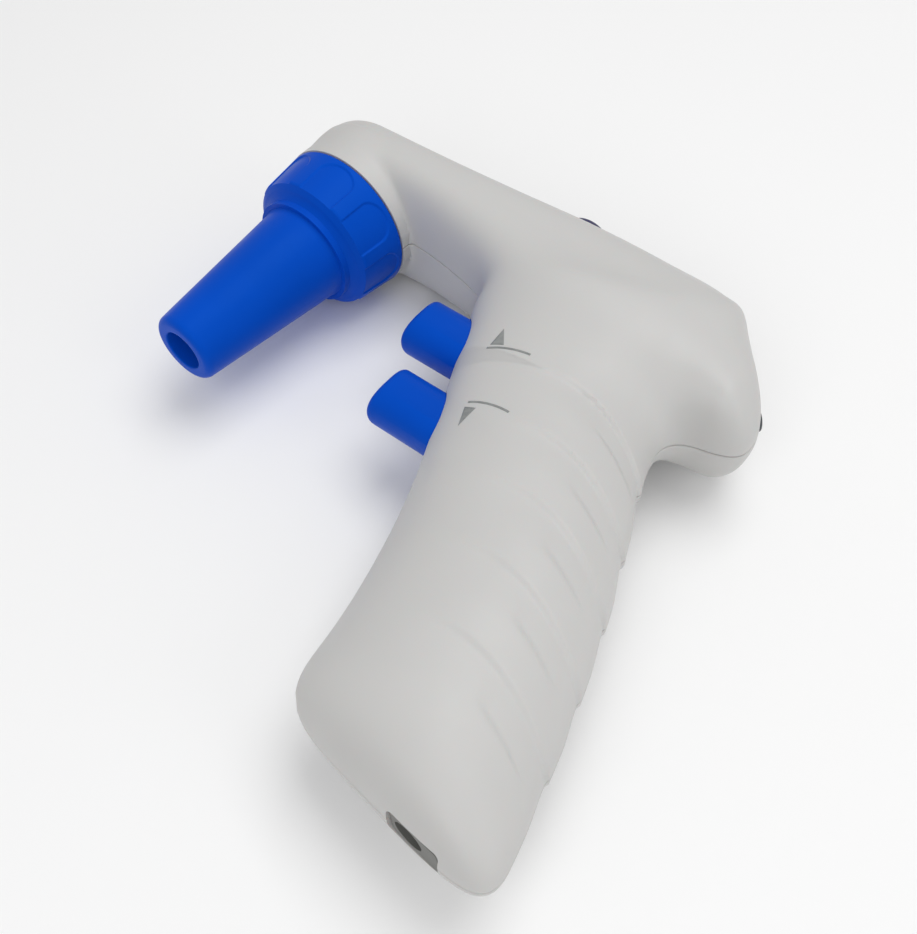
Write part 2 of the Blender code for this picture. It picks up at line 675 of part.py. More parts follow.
def collar_recess(number):
    """Cutter for one pocket: its floor follows the collar's taper, and it is open to the front."""
    steps = 8
    taper = (COLLAR_BACK_R - COLLAR_FRONT_R) / (COLLAR_BACK_Y - COLLAR_FRONT_Y)
    low = COLLAR_FRONT_Y - 3.0
    sections = []
    for k in range(steps + 1):
        across = -math.cos(math.pi * k / steps)
        top = POCKET_SHOULDER_Y + POCKET_ARCH * math.sqrt(1 - across ** 2)
        turn = POCKET_TURN + math.tau * number / POCKETS + across * POCKET_HALF / COLLAR_FRONT_R
        ring = []
        for offset, y in ((-POCKET_DEPTH, low), (-POCKET_DEPTH, top), (4.0, top), (4.0, low)):
            radius = COLLAR_FRONT_R + taper * (y - COLLAR_FRONT_Y) + offset
            ring.append((radius * math.sin(turn), y, radius * math.cos(turn)))
        sections.append(ring)
    return lofted(sections)


# ---- triggers and valves ----------------------------------------------------------------
def make_trigger(holder, name, place):
    """One finger pad with its flange, valve stem, return spring, seal and motor switch."""
    y, tip, flange = place["y"], place["tip"], place["flange"]
    pad_face = rounded_rectangle(PAD_HALF_Y - PAD_TIP_ROUND, PAD_HALF_Z - PAD_TIP_ROUND,
                                 PAD_CORNER - PAD_TIP_ROUND, 5)
    sections = []
    for share in (0.08, 0.55):
        sections.append([(tip + PAD_CROWN * (share * b) ** 2, y + share * a, share * b)
                         for a, b in pad_face])
    for k in range(4):
        turn = math.pi / 2 * k / 3
        inset = PAD_TIP_ROUND * (1 - math.sin(turn))
        pad = rounded_rectangle(PAD_HALF_Y - inset, PAD_HALF_Z - inset, PAD_CORNER - inset, 5)
        front = tip + PAD_TIP_ROUND * (1 - math.cos(turn))
        sections.append([(front + PAD_CROWN * b * b, y + a, b) for a, b in pad])
    sections.append([(flange, y + a, b) for a, b in pad])
    lip = rounded_rectangle(PAD_HALF_Y + FLANGE_LIP, PAD_HALF_Z + FLANGE_LIP, PAD_CORNER, 5)
    for x in (flange, flange + FLANGE_THICK):
        sections.append([(x, y + a, b) for a, b in lip])
    origin = (tip, y, 0.0)
    body = mesh_from(lofted(sections), name, origin)
    add(holder, f"{name}_trigger", body, "blue_plastic", origin)

    start = flange + FLANGE_THICK + GAP
    face = start + SPRING_LENGTH + GAP
    foot_r, foot = STEM_FOOT
    stem = [(0.0, start), (foot_r, start), (foot_r, start + foot), (STEM_R, start + foot),
            (STEM_R, face + STEM_REACH[0]), (0.8, face + STEM_REACH[1]),
            (0.0, face + STEM_REACH[1])]
    origin = (start, y, 0.0)
    body = turned(stem, 16, "x", (0.0, y, 0.0))
    add(holder, f"{name}_valve_stem", mesh_from(body, "stem", origin), "brass", origin)
    first = start + foot + GAP + SPRING_WIRE_R
    last = face - GAP - SPRING_WIRE_R
    steps = SPRING_TURNS * SPRING_SIDES
    helix = [(first + (last - first) * k / steps,
              y + SPRING_R * math.cos(math.tau * k / SPRING_SIDES),
              SPRING_R * math.sin(math.tau * k / SPRING_SIDES)) for k in range(steps + 1)]
    origin = (face, y, 0.0)
    curve = wire(f"{name}_spring", helix, SPRING_WIRE_R, 1, origin)
    add(holder, f"{name}_spring", curve, "steel", origin)
    ring = [(r, face + 3.0 + h) for r, h in arc((STEM_R + 0.42, 0.0), 0.34, 0, 300, 5)]
    seal = turned(ring, 20, "x", (0.0, y, 0.0))
    add(holder, f"{name}_valve_seal", mesh_from(seal, "seal"), "black_rubber")
    front = flange + FLANGE_THICK + TRAVEL + GAP
    body = box((front + BUTTON_RISE, y - SWITCH_HALF, SWITCH_Z[0]),
               (front + BUTTON_RISE + SWITCH_LENGTH, y + SWITCH_HALF, SWITCH_Z[1]))
    switch = add(holder, f"{name}_motor_switch", mesh_from(body, "switch"), "dark_plastic")
    button = box((front, y - BUTTON_HALF, BUTTON_Z[0]),
                 (front + BUTTON_RISE + BEYOND, y + BUTTON_HALF, BUTTON_Z[1]))
    button = add(holder, f"{name}_button", mesh_from(button, "button"), None)
    boolean(switch, button, "UNION")
    return face


def make_valves(holder, upper_face, lower_face):
    """Valve block with a stepped front, bored for both stems and their seals."""
    upper, lower = ASPIRATE["y"], DISPENSE["y"]
    step = (upper + lower) / 2
    top, bottom = upper + BLOCK_EDGE[0], lower - BLOCK_EDGE[1]
    upper_back, lower_back = upper_face + BLOCK_DEPTH[0], lower_face + BLOCK_DEPTH[1]
    outline = [(upper_face, step), (lower_face, step), (lower_face, bottom),
               (lower_back, bottom), (lower_back, step + 2.0), (upper_back, top),
               (upper_face, top)]
    block = prism(outline, -BLOCK_HALF, BLOCK_HALF)
    piece = add(holder, "valve_block", mesh_from(block, "valve_block"), "white_plastic")
    for name, y, face in (("aspirate", upper, upper_face), ("dispense", lower, lower_face)):
        slide, groove = STEM_R + 0.06, STEM_R + 0.85
        bore = [(0.0, face - BEYOND), (slide, face - BEYOND), (slide, face + 2.5),
                (groove, face + 2.5), (groove, face + 3.5), (slide, face + 3.5),
                (slide, face + BORE_REACH[0]), (0.9, face + BORE_REACH[1]),
                (0.0, face + BORE_REACH[1])]
        tool = add(holder, f"{name}_bore", mesh_from(turned(bore, 20, "x", (0.0, y, 0.0)), "bore"),
                   None)
        boolean(piece, tool, "DIFFERENCE")
    return top


# ---- pump, motor and tubes --------------------------------------------------------------
def make_pump(holder, block_top):
    """Diaphragm pump, its motor with the eccentric, the foam round it and the air tubes."""
    middle = (PUMP_X[0] + PUMP_X[1]) / 2
    outline = rounded_rectangle((PUMP_X[1] - PUMP_X[0]) / 2, (PUMP_Y[1] - PUMP_Y[0]) / 2, 1.6, 3,
                                (middle, (PUMP_Y[0] + PUMP_Y[1]) / 2))
    head = add(holder, "pump_head", mesh_from(prism(outline, -PUMP_HALF, PUMP_HALF), "pump_head"),
               "white_plastic")
    floor, past = PUMP_X[1] - CHAMBER_DEPTH, PUMP_X[1] + BEYOND
    chamber = disc(CHAMBER_R, floor, past, "x", (0.0, MOTOR_Y, 0.0), 24)
    boolean(head, add(holder, "chamber", mesh_from(chamber, "chamber"), None), "DIFFERENCE")
    can = [(MOTOR_BORE_R, MOTOR_X[0]), (MOTOR_R - 0.6, MOTOR_X[0]), (MOTOR_R, MOTOR_X[0] + 0.6),
           (MOTOR_R, MOTOR_X[1] - 0.6), (MOTOR_R - 0.6, MOTOR_X[1]), (0.0, MOTOR_X[1]),
           (0.0, MOTOR_X[0] + 6.0), (MOTOR_BORE_R, MOTOR_X[0] + 6.0)]
    add(holder, "pump_motor", mesh_from(turned(can, 28, "x", (0.0, MOTOR_Y, 0.0)), "motor"),
        "steel")
    origin = (PUMP_X[1], MOTOR_Y, 0.0)
    shaft = disc(SHAFT_R, PUMP_X[1] - 4.5, MOTOR_X[0] + 5.5, "x", (0.0, MOTOR_Y, 0.0), 14)
    piece = add(holder, "motor_shaft", mesh_from(shaft, "shaft", origin), "steel", origin)
    cam = disc(CAM_R, PUMP_X[1] - 4.2, PUMP_X[1] - 0.8, "x", (0.0, MOTOR_Y + CAM_OFFSET, 0.0), 20)
    hole = disc(SHAFT_R + 0.03, floor, past, "x", (0.0, MOTOR_Y, 0.0), 14)
    eccentric = add(holder, "pump_eccentric", mesh_from(cam, "cam", origin), "dark_plastic", origin)
    boolean(eccentric, add(holder, "cam_bore", mesh_from(hole, "hole"), None), "DIFFERENCE")
    sleeve = [(MOTOR_R + GAP, MOTOR_X[0] + 3.0), (MOTOR_R + 1.1, MOTOR_X[0] + 3.0),
              (MOTOR_R + 1.1, MOTOR_X[1] - 8.0), (MOTOR_R + GAP, MOTOR_X[1] - 8.0)]
    add(holder, "motor_cushion", mesh_from(turned(sleeve, 28, "x", (0.0, MOTOR_Y, 0.0)), "foam"),
        "foam")
    nose_top = COLLAR_BACK_Y + 3 * GAP + WALL + 6.0
    route = [(0.0, nose_top, 0.0), (0.0, nose_top + 2.4, 0.0), (4.2, 71.0, 0.0),
             (16.0, 71.2, 0.0), (32.0, 69.0, 0.0), (45.0, 61.0, 0.0), (56.0, 53.6, 0.0),
             (67.0, 52.8, 0.0), (73.0, 51.6, 0.0), (74.8, 49.8, 0.0), (74.8, block_top + GAP, 0.0)]
    add(holder, "nose_tube", wire("nose_tube", smooth_path(route, 4.0), NOSE_TUBE_R), "silicone")
    for name, side in (("suction_tube", 1.0), ("pressure_tube", -1.0)):
        path = [(73.6, PUMP_Y[0] - GAP, side * 5.0), (73.6, PUMP_Y[0] - 1.6, side * 5.0),
                (79.6, 51.4, side * 4.4), (81.6, 49.6, side * 3.4),
                (81.6, block_top + GAP, side * 3.4)]
        add(holder, name, wire(name, smooth_path(path, 2.0), PUMP_TUBE_R), "silicone")


# ---- power, board, switch, indicator and socket -------------------------------------------
def grip_frame(t, u, z=0.0):
    """Local axes in the grip: X across it rearwards, Y up its axis."""
    x, y = grip_point(t, u)
    return Matrix.Translation((x, y, z)) @ Matrix.Rotation(GRIP_TILT, 4, "Z")


def make_power(holder):
    """Two cells in a cradle, the circuit board, leads and the charging socket."""
    length = CELL_T[1] - CELL_T[0]
    cell = [(0.0, 0.0), (CELL_R - 0.4, 0.0), (CELL_R, 0.4), (CELL_R, length - 1.6),
            (CELL_R - 0.5, length - 1.2), (2.7, length - 1.2), (2.7, length), (0.0, length)]
    for number, u in enumerate(CELL_U, 1):
        body = turned(cell, 20)
        body.transform(grip_frame(CELL_T[1], u))
        add(holder, f"battery_cell_{number}", mesh_from(body, "cell"), "cell_sleeve")
    tray = box((CELL_U[0] - CELL_R - 0.9, -length + 2.0, CRADLE_Z[0]),
               (CRADLE_U, -4.0, CRADLE_Z[1]))
    tray.transform(grip_frame(CELL_T[0], 0.0))
    cradle = add(holder, "battery_cradle", mesh_from(tray, "cradle"), "dark_plastic")
    for number, u in enumerate(CELL_U, 1):
        body = disc(CELL_R + GAP, -6.0, length + 6.0, "y", (0.0, 0.0, 0.0), 24)
        body.transform(grip_frame(CELL_T[1], u))
        tool = add(holder, f"trough_{number}", mesh_from(body, "trough"), None)
        boolean(cradle, tool, "DIFFERENCE")
    for name, low in (("battery_link_top", GAP),
                      ("battery_link_bottom", -length - GAP - LINK_THICK)):
        strip = box((CELL_U[0] - 3.5, low, -LINK_HALF),
                    (CELL_U[1] + 3.5, low + LINK_THICK, LINK_HALF))
        strip.transform(grip_frame(CELL_T[0], 0.0))
        add(holder, name, mesh_from(strip, name), "brass")
    board = prism(rounded_rectangle(*BOARD_HALF, 1.0, 2, (4.0, 0.0)), *BOARD_Z)
    board.transform(grip_frame(BOARD_T, 0.0))
    add(holder, "circuit_board", mesh_from(board, "board"), "board_green")
    seat = BOARD_Z[1] + GAP
    chip = box((0.0, -CHIP_SIDE / 2, seat), (CHIP_SIDE, CHIP_SIDE / 2, seat + CHIP_THICK))
    chip.transform(grip_frame(BOARD_T - 4.0, 0.0))
    add(holder, "control_chip", mesh_from(chip, "chip"), "dark_plastic")

    jack = box((-JACK_HALF, PLATE[2] + 2 * GAP, -JACK_HALF), (JACK_HALF, 10.5, JACK_HALF))
    jack.transform(socket_frame())
    piece = add(holder, "charging_jack", mesh_from(jack, "jack"), "dark_plastic")
    bore = [(JACK_PIN_R, -1.0), (JACK_BORE_R, -1.0), (JACK_BORE_R, 9.0), (JACK_PIN_R, 9.0)]
    body = turned(bore, 20)
    body.transform(socket_frame())
    boolean(piece, add(holder, "jack_bore", mesh_from(body, "bore"), None), "DIFFERENCE")
    outline = rounded_rectangle(PLATE[0] / 2, PLATE[1] / 2, 1.2, 3, (PLATE_SHIFT, 0.0))
    plate = prism(outline, 0.0, PLATE[2], "y")
    plate.transform(socket_frame())
    piece = add(holder, "socket_plate", mesh_from(plate, "plate"), "plate_grey")
    body = disc(PLATE_HOLE_R, -2.0, 4.0, "y", (0.0, 0.0, 0.0), 24)
    body.transform(socket_frame())
    boolean(piece, add(holder, "plate_bore", mesh_from(body, "bore"), None), "DIFFERENCE")

    rear = MOTOR_X[1] + GAP + 1.0
    leads = (("red", [(rear, 61.5, 2.0), (rear + 1.6, 60.6, 2.4), (102.4, 57.6, 4.0),
                      (97.4, 54.6, 5.6), (93.6, 44.0, 7.4), (91.6, 26.0, 9.2),
                      (*grip_point(36.8, 3.0), 9.6)]),
             ("black", [(rear, 69.0, 3.0), (103.4, 66.0, 5.0), (103.6, 60.0, 6.6),
                        (99.0, 56.0, 7.4), (96.4, 44.0, 7.2), (95.4, 26.0, 9.0),
                        (*grip_point(36.8, 8.0), 9.6)]))
    for colour, path in leads:
        lead = wire(f"motor_lead_{colour}", smooth_path(path, 5.0), LEAD_R, 1)
        add(holder, f"motor_lead_{colour}", lead, f"lead_{colour}")


def make_controls(holder):
    """Mode switch with its sliding knob, and the indicator at the rear."""
    crown = arc((KNOB_R - KNOB_EDGE, KNOB_BASE + KNOB_RISE - KNOB_EDGE), KNOB_EDGE, 0, 90, 3)
    profile = [(0.0, KNOB_BASE), (KNOB_R, KNOB_BASE)] + crown + [(0.0, KNOB_BASE + KNOB_RISE)]
    origin = (MODE_X, KNOB_BASE, 0.0)
    body = turned(profile, 28, "y", (MODE_X, 0.0, 0.0))
    knob = add(holder, "mode_knob", mesh_from(body, "knob", origin), "navy_plastic", origin)
    neck = prism(rounded_rectangle(2.6, 2.3, 0.8, 2, (MODE_X, 0.0)), 78.0, KNOB_BASE + 0.8, "y")
    boolean(knob, add(holder, "knob_neck", mesh_from(neck, "neck"), None), "UNION")
    tongue = prism(rounded_rectangle(1.1, 1.1, 0.3, 1, (MODE_X, 0.0)), 75.6, 78.5, "y")
    boolean(knob, add(holder, "knob_tongue", mesh_from(tongue, "tongue"), None), "UNION")
    body = box((MODE_X - 7.5, SWITCH_TOP_Y - 4.2, -4.0), (MODE_X + 6.6, SWITCH_TOP_Y, 4.0))
    switch = add(holder, "mode_switch", mesh_from(body, "mode_switch"), "dark_plastic")
    groove = box((MODE_X - 3.6, SWITCH_TOP_Y - 2.4, -1.5),
                 (MODE_X + 3.6, SWITCH_TOP_Y + BEYOND, 1.5))
    boolean(switch, add(holder, "groove", mesh_from(groove, "groove"), None), "DIFFERENCE")

    aim = np.array([[math.cos(INDICATOR_TURN), math.sin(INDICATOR_TURN), 0.0]])
    skin = surface_from(np.array([[*INDICATOR, 0.0]]), aim)[0, 0]
    skin = (skin - INDICATOR[0]) / math.cos(INDICATOR_TURN)
    lens = [(0.0, skin - 4.2), (LENS_R, skin - 4.2), (LENS_R, skin - 0.3), (1.7, skin + 0.1),
            (0.9, skin + 0.3), (0.0, skin + 0.35)]
    diode = [(0.0, skin - 7.2), (1.5, skin - 7.2), (1.5, skin - 5.3), (0.8, skin - 4.6),
             (0.0, skin - 4.5)]
    for name, profile, slot in (("indicator_lens", lens, "lens"),
                                ("indicator_diode", diode, "white_plastic")):
        body = turned(profile, 20, "x")
        body.transform(indicator_frame())
        add(holder, name, mesh_from(body, name), slot)


def make_screws(holder):
    """Housing screws, driven in from the right side."""
    low = SCREW_HEAD_Z - GAP * 0.2
    profile = [(0.0, low - 1.7), (SCREW_HEAD_R - 0.4, low - 1.7), (SCREW_HEAD_R, low - 1.2),
               (SCREW_HEAD_R, low),
               (SCREW_R, low), (SCREW_R, SCREW_TIP_Z - 0.9), (0.4, SCREW_TIP_Z),
               (0.0, SCREW_TIP_Z)]
    for number, (x, y) in enumerate(screw_places(), 1):
        body = turned(profile, 10, "z", (x, y, 0.0))
        name = f"housing_screw_{number}"
        add(holder, name, mesh_from(body, name), "steel")


def main():
    clear_scene()
    holder = place_empty()
    make_housing(holder)
    make_nose(holder)
    upper_face = make_trigger(holder, "aspirate", ASPIRATE)
    lower_face = make_trigger(holder, "dispense", DISPENSE)
    block_top = make_valves(holder, upper_face, lower_face)
    make_pump(holder, block_top)
    make_power(holder)
    make_controls(holder)
    make_screws(holder)


main()
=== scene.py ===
"""Looks of the motorized pipette controller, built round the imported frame.

Lengths are in millimetres in the same design axes as the CAD: X rearwards, Y up as the controller
is held, Z to its left, with the nosepiece's mouth at the design origin and the parting plane at
Z = 0. ORIGIN, read from the frame, carries design places to the row frame.
"""

import json
import math

import bmesh
import bpy
import numpy as np
from mathutils import Matrix, Vector


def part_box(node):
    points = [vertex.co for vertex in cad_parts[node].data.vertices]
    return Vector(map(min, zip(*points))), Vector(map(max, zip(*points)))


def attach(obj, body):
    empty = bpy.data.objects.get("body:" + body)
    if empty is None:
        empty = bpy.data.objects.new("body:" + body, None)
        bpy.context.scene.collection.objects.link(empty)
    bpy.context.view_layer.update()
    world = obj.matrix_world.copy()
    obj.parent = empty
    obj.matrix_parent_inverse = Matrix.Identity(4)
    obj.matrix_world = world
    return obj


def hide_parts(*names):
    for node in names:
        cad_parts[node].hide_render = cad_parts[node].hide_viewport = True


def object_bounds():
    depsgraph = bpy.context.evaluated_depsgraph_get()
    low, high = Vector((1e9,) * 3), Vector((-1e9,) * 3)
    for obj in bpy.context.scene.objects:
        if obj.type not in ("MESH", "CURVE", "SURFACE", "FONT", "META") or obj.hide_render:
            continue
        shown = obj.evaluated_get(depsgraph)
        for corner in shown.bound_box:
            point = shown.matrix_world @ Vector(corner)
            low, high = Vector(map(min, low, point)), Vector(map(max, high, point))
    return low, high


MM = 0.001

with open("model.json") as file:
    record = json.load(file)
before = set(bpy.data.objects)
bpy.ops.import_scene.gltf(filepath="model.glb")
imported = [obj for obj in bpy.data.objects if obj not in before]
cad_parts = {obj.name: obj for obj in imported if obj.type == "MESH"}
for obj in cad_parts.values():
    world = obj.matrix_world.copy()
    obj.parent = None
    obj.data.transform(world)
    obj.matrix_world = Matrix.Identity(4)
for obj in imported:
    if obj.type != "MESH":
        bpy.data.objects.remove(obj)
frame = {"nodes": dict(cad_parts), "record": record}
cad_low, cad_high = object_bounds()

nose_low, nose_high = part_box("nosepiece")
ORIGIN = Vector(((nose_low.x + nose_high.x) / 2, nose_low.y, (nose_low.z + nose_high.z) / 2))

# ---- driving dimensions, the same as the CAD's ---------------------------------------------
GAP = 0.3                            # clearance between touching pieces
SEAM = 0.15                          # half of the gap between the two housing halves
WALL = 2.2                           # housing wall

# Head of the housing: stations along X with the top line, the underside and the half width.
HEAD_X = (0.0, 20.0, 40.0, 60.0, 80.0, 95.0, 100.0, 105.0, 112.0, 118.0)
HEAD_TOP = (77.0, 77.7, 79.8, 82.0, 82.5, 81.6, 80.2, 73.8, 65.9, 60.9)
HEAD_BOTTOM = (58.7, 59.5, 57.0, 53.4, 51.0, 50.0, 49.8, 49.6, 49.3, 49.3)
HEAD_HALF = (19.4, 18.8, 18.0, 17.4, 16.6, 16.1, 15.7, 15.1, 14.0, 13.2)
HEAD_POWER = 2.9                     # squareness of the head's cross-section
REAR_X = 109.4                       # the rear end starts to round off in plan here
REAR_ROUND = 8.5                     # and ends this much further back

# Grip: stations down its tilted axis with the front line, the back line and the half width.
GRIP_TILT = math.radians(16.6)
GRIP_START = (78.1, 42.0)
GRIP_T = (-25.0, 0.0, 25.0, 50.0, 75.0, 100.0)
GRIP_FRONT = (-26.6, -25.4, -21.9, -20.3, -22.0, -28.2)
GRIP_BACK = (20.4, 21.5, 24.5, 26.7, 27.1, 25.9)
GRIP_HALF = (15.2, 15.4, 15.7, 15.8, 15.7, 15.6)
GRIP_POWER = 2.1
GRIP_END = 99.8                      # where the axis meets the bottom face
GRIP_TOP = -15.0                     # the grip fades out here, inside the head
END_SLOPE = math.radians(23.4)       # bottom face against the grip's cross-section
END_CROWN = 0.02                     # rounding of the bottom face from side to side
END_ROUND = 13.7
GRIP_TOP_ROUND = 6.0
BLEND = 22.0                         # softness of the join between head and grip

# Nosepiece: a cone with a collar, round the Y axis.
MOUTH_R = 5.1
MOUTH_FLAT_R = 6.9
MOUTH_ROUND = 1.9                    # rounding from the mouth's face to the cone
CONE_TIP = (8.83, 2.0)               # radius and height where the straight cone begins
CONE_BASE_R = 12.3
CONE_BASE_Y = 38.5
LEDGE_ROUND = 5.2                    # hollow between the cone and the collar's rim
RIM_ROUND = 1.1
COLLAR_FRONT_R = 17.8
COLLAR_FRONT_Y = 45.9
COLLAR_BACK_R = 19.0
COLLAR_BACK_Y = 56.5
COLLAR_ROUND = 0.4                   # its rear edge
POCKETS = 8                          # shallow finger pockets round the collar
POCKET_TURN = math.radians(56.3)     # the first one's middle, from +Z towards +X
POCKET_DEPTH = 0.42
POCKET_HALF = 5.0                    # half of its width
POCKET_SHOULDER_Y = 51.5             # its sides are straight up to here
POCKET_ARCH = 3.7                    # and its end is an arch this high
POCKET_EDGE = 0.34                   # width of the step down into a pocket
NECK_R = 13.6
SEAT_Y = 44.5

# Triggers.
PAD_HALF_Y = 7.2
PAD_HALF_Z = 6.3
PAD_CORNER = 6.1
PAD_TIP_ROUND = 1.4
PAD_CROWN = 0.035                    # the pad's face falls back by this times the square of Z
FLANGE_LIP = 1.4
FLANGE_THICK = 1.8

# Mode switch, indicator, charging socket and screws.
MODE_X = 54.0
MODE_SLOT = (5.6, 2.9, 1.5)          # half length, half width and corner
KNOB_R = 7.0
KNOB_RISE = 4.5
KNOB_EDGE = 1.5
INDICATOR = (110.0, 57.2)            # a point on the indicator's axis
INDICATOR_TURN = math.radians(41.0)
LENS_R = 2.4
LENS_EDGE = 0.4
SOCKET = (114.45, -53.8)
SOCKET_TURN = -math.radians(5.9)
PLATE = (11.8, 9.2, 1.5)             # length, width and thickness of the socket's plate
PLATE_SHIFT = 1.5                    # the plate's middle behind the jack's axis
PLATE_HOLE_R = 3.3
PLATE_EDGE = 0.2
JACK_HALF = 4.0
SCREW_HEAD_Z = -7.5
WELL_R = 2.7                         # access hole above a screw's head
CLEARANCE_R = 1.5                    # hole round its shank


# ---- the housing's outer form --------------------------------------------------------------
def along(stations, values, at):
    """Smooth cubic through station values, held flat beyond both ends."""
    s = np.asarray(stations)
    v = np.asarray(values)
    step = np.diff(s)
    slope = np.diff(v) / step
    tangent = np.empty(len(s))
    tangent[0] = slope[0]
    tangent[-1] = slope[-1]
    tangent[1:-1] = (slope[:-1] * step[1:] + slope[1:] * step[:-1]) / (step[1:] + step[:-1])
    at = np.clip(at, s[0], s[-1])
    i = np.clip(np.searchsorted(s, at) - 1, 0, len(s) - 2)
    h = step[i]
    t = (at - s[i]) / h
    return (v[i] * (1 + 2 * t) * (1 - t) ** 2 + v[i + 1] * t * t * (3 - 2 * t)
            + tangent[i] * h * t * (1 - t) ** 2 - tangent[i + 1] * h * t * t * (1 - t))


def soft_min(a, b, softness):
    """Smaller of two fields, with a round transition."""
    h = np.maximum(softness - np.abs(a - b), 0.0) / softness
    return np.minimum(a, b) - h ** 3 * softness / 6.0


def soft_max(a, b, softness):
    return -soft_min(-a, -b, softness)


def ramp(x, low, high):
    """0 below low, 1 above high, with a smooth step between."""
    t = np.clip((x - low) / (high - low), 0.0, 1.0)
    return t * t * (3 - 2 * t)


def head_field(x, y, z):
    """Signed field of the head, negative inside; both ends round off in plan."""
    top = along(HEAD_X, HEAD_TOP, x)
    bottom = along(HEAD_X, HEAD_BOTTOM, x)
    half = along(HEAD_X, HEAD_HALF, x)
    ahead = np.maximum(HEAD_X[0] - x, 0.0)
    behind = np.maximum(x - REAR_X, 0.0) * half / REAR_ROUND
    reach = np.sqrt(z * z + ahead ** 2 + behind ** 2)
    middle = (top + bottom) / 2
    height = (top - bottom) / 2
    r = ((reach / half) ** HEAD_POWER
         + np.abs((y - middle) / height) ** HEAD_POWER) ** (1 / HEAD_POWER)
    body = (r - 1) * np.minimum(half, height)
    skirt = soft_max(np.sqrt(x * x + z * z) - COLLAR_BACK_R - 0.1, np.abs(y - 59.0) - 9.0, 1.0)
    return soft_min(body, skirt, 2.0)


def grip_axes(x, y):
    """Distance down the grip's axis and across it, rearwards."""
    c, s = math.cos(GRIP_TILT), math.sin(GRIP_TILT)
    dx, dy = x - GRIP_START[0], y - GRIP_START[1]
    return dx * s - dy * c, dx * c + dy * s


def grip_point(t, u):
    """Design X and Y of a place in the grip, t down its axis and u across it."""
    c, s = math.cos(GRIP_TILT), math.sin(GRIP_TILT)
    return GRIP_START[0] + t * s + u * c, GRIP_START[1] - t * c + u * s


def grip_field(x, y, z):
    """Signed field of the grip, negative inside, with its rounded bottom."""
    t, u = grip_axes(x, y)
    front = along(GRIP_T, GRIP_FRONT, t)
    back = along(GRIP_T, GRIP_BACK, t)
    half = along(GRIP_T, GRIP_HALF, t)
    middle = (front + back) / 2
    depth = (back - front) / 2
    r = (np.abs(z / half) ** GRIP_POWER
         + np.abs((u - middle) / depth) ** GRIP_POWER) ** (1 / GRIP_POWER)
    sides = (r - 1) * np.minimum(half, depth)
    end = (t - GRIP_END - math.tan(END_SLOPE) * u) * math.cos(END_SLOPE) + END_CROWN * z * z
    return soft_max(soft_max(sides, end, END_ROUND), GRIP_TOP - t, GRIP_TOP_ROUND)


def housing_field(p):
    """Signed field of the whole housing at points (..., 3)."""
    x, y, z = p[..., 0], p[..., 1], p[..., 2]
    return soft_min(head_field(x, y, z), grip_field(x, y, z), BLEND)


def field_gradient(p, step=0.05):
    steps = np.eye(3) * step
    return np.stack([housing_field(p + d) - housing_field(p - d) for d in steps], -1) / (2 * step)


def surface_from(origin, direction, level=0.0):
    """Where rays from inside the housing reach a level of its field, by bisection."""
    low = np.zeros(direction.shape[:-1] + (1,))
    high = np.full_like(low, 80.0)
    for _ in range(36):
        middle = (low + high) / 2
        inside = (housing_field(origin + direction * middle) < level)[..., None]
        low = np.where(inside, middle, low)
        high = np.where(inside, high, middle)
    return origin + direction * low


# ---- relief of the housing's outer skin ----------------------------------------------------
SCOOP_STARTS = (7.0, 22.0, 36.4, 52.2, 68.9)   # down the grip, where each finger scoop begins
SCOOP_TALL = (5.6, 6.4, 7.0, 7.4, 8.0)
SCOOP_DEPTHS = (0.75, 0.7, 0.55, 0.55, 0.55)
SCOOP_EDGE = 0.42                    # half width of a scoop's crisp edges


def scoops(p):
    """Depth of the shallow finger scoops that curve down across the rear of the grip's sides."""
    t, u = grip_axes(p[..., 0], p[..., 1])
    s = np.maximum(u + 1.4, 0.0)
    line = 0.06 * s + 0.0175 * s ** 2
    reach = 0.7 * ramp(u, -7.0, 8.0) + 0.3 * ramp(u, 5.0, 18.0)
    leaf = ramp(u, 11.0, 15.0) * (1 - ramp(u, 20.5, 24.5))
    depth = np.zeros_like(t)
    for start, tall, deep in zip(SCOOP_STARTS, SCOOP_TALL, SCOOP_DEPTHS):
        w = t - start - line
        upper = ramp(w, -SCOOP_EDGE, SCOOP_EDGE)
        fade = 1 - ramp(w, 0.0, tall + 3.0)
        floor = 1 - 0.1 * ramp(w, 0.0, tall)
        pocket = floor * (1 - ramp(w, tall - SCOOP_EDGE, tall + SCOOP_EDGE))
        depth += deep * upper * ((1 - leaf) * fade + leaf * pocket)
    return depth * reach


def seam_round(p):
    """How far the skin dips beside the parting plane, a small round edge on each half."""
    from_edge = np.clip((np.abs(p[..., 2]) - SEAM) / 0.45, 0.0, 1.0)
    return 0.28 * (1 - np.sqrt(1 - (1 - from_edge) ** 2))


# ---- the housing's mesh --------------------------------------------------------------------
SPINE_FRONT = (0.0, 67.0)
SPINE_JOIN = (70.5, 65.0)
SPINE_REAR = (98.0, 64.0)
SPINE_FOOT = grip_point(86.0, 1.0)
FRONT_PIVOT = (30.0, 35.0)
REAR_PIVOT = (122.0, 36.0)
FINE = 11.0                          # density of the stations round the housing
LIFT_STEPS = 72                      # rows from the parting plane up to the top of a half
SEAM_ROWS = (0.15, 0.19, 0.25, 0.34, 0.46)   # heights of the rows that round the seam's edge
SEAM_CLEAR = 0.62                    # height of the first row of rays above them
INNER_ROWS = 9                       # rows of the plain inner wall
WELD = 0.0005                        # points nearer than this become one


def between(start, end, count):
    return [(start[0] + (end[0] - start[0]) * k / count, start[1] + (end[1] - start[1]) * k / count)
            for k in range(count + 1)]


def angle_to(node, target):
    return math.atan2(target[1] - node[1], target[0] - node[0])


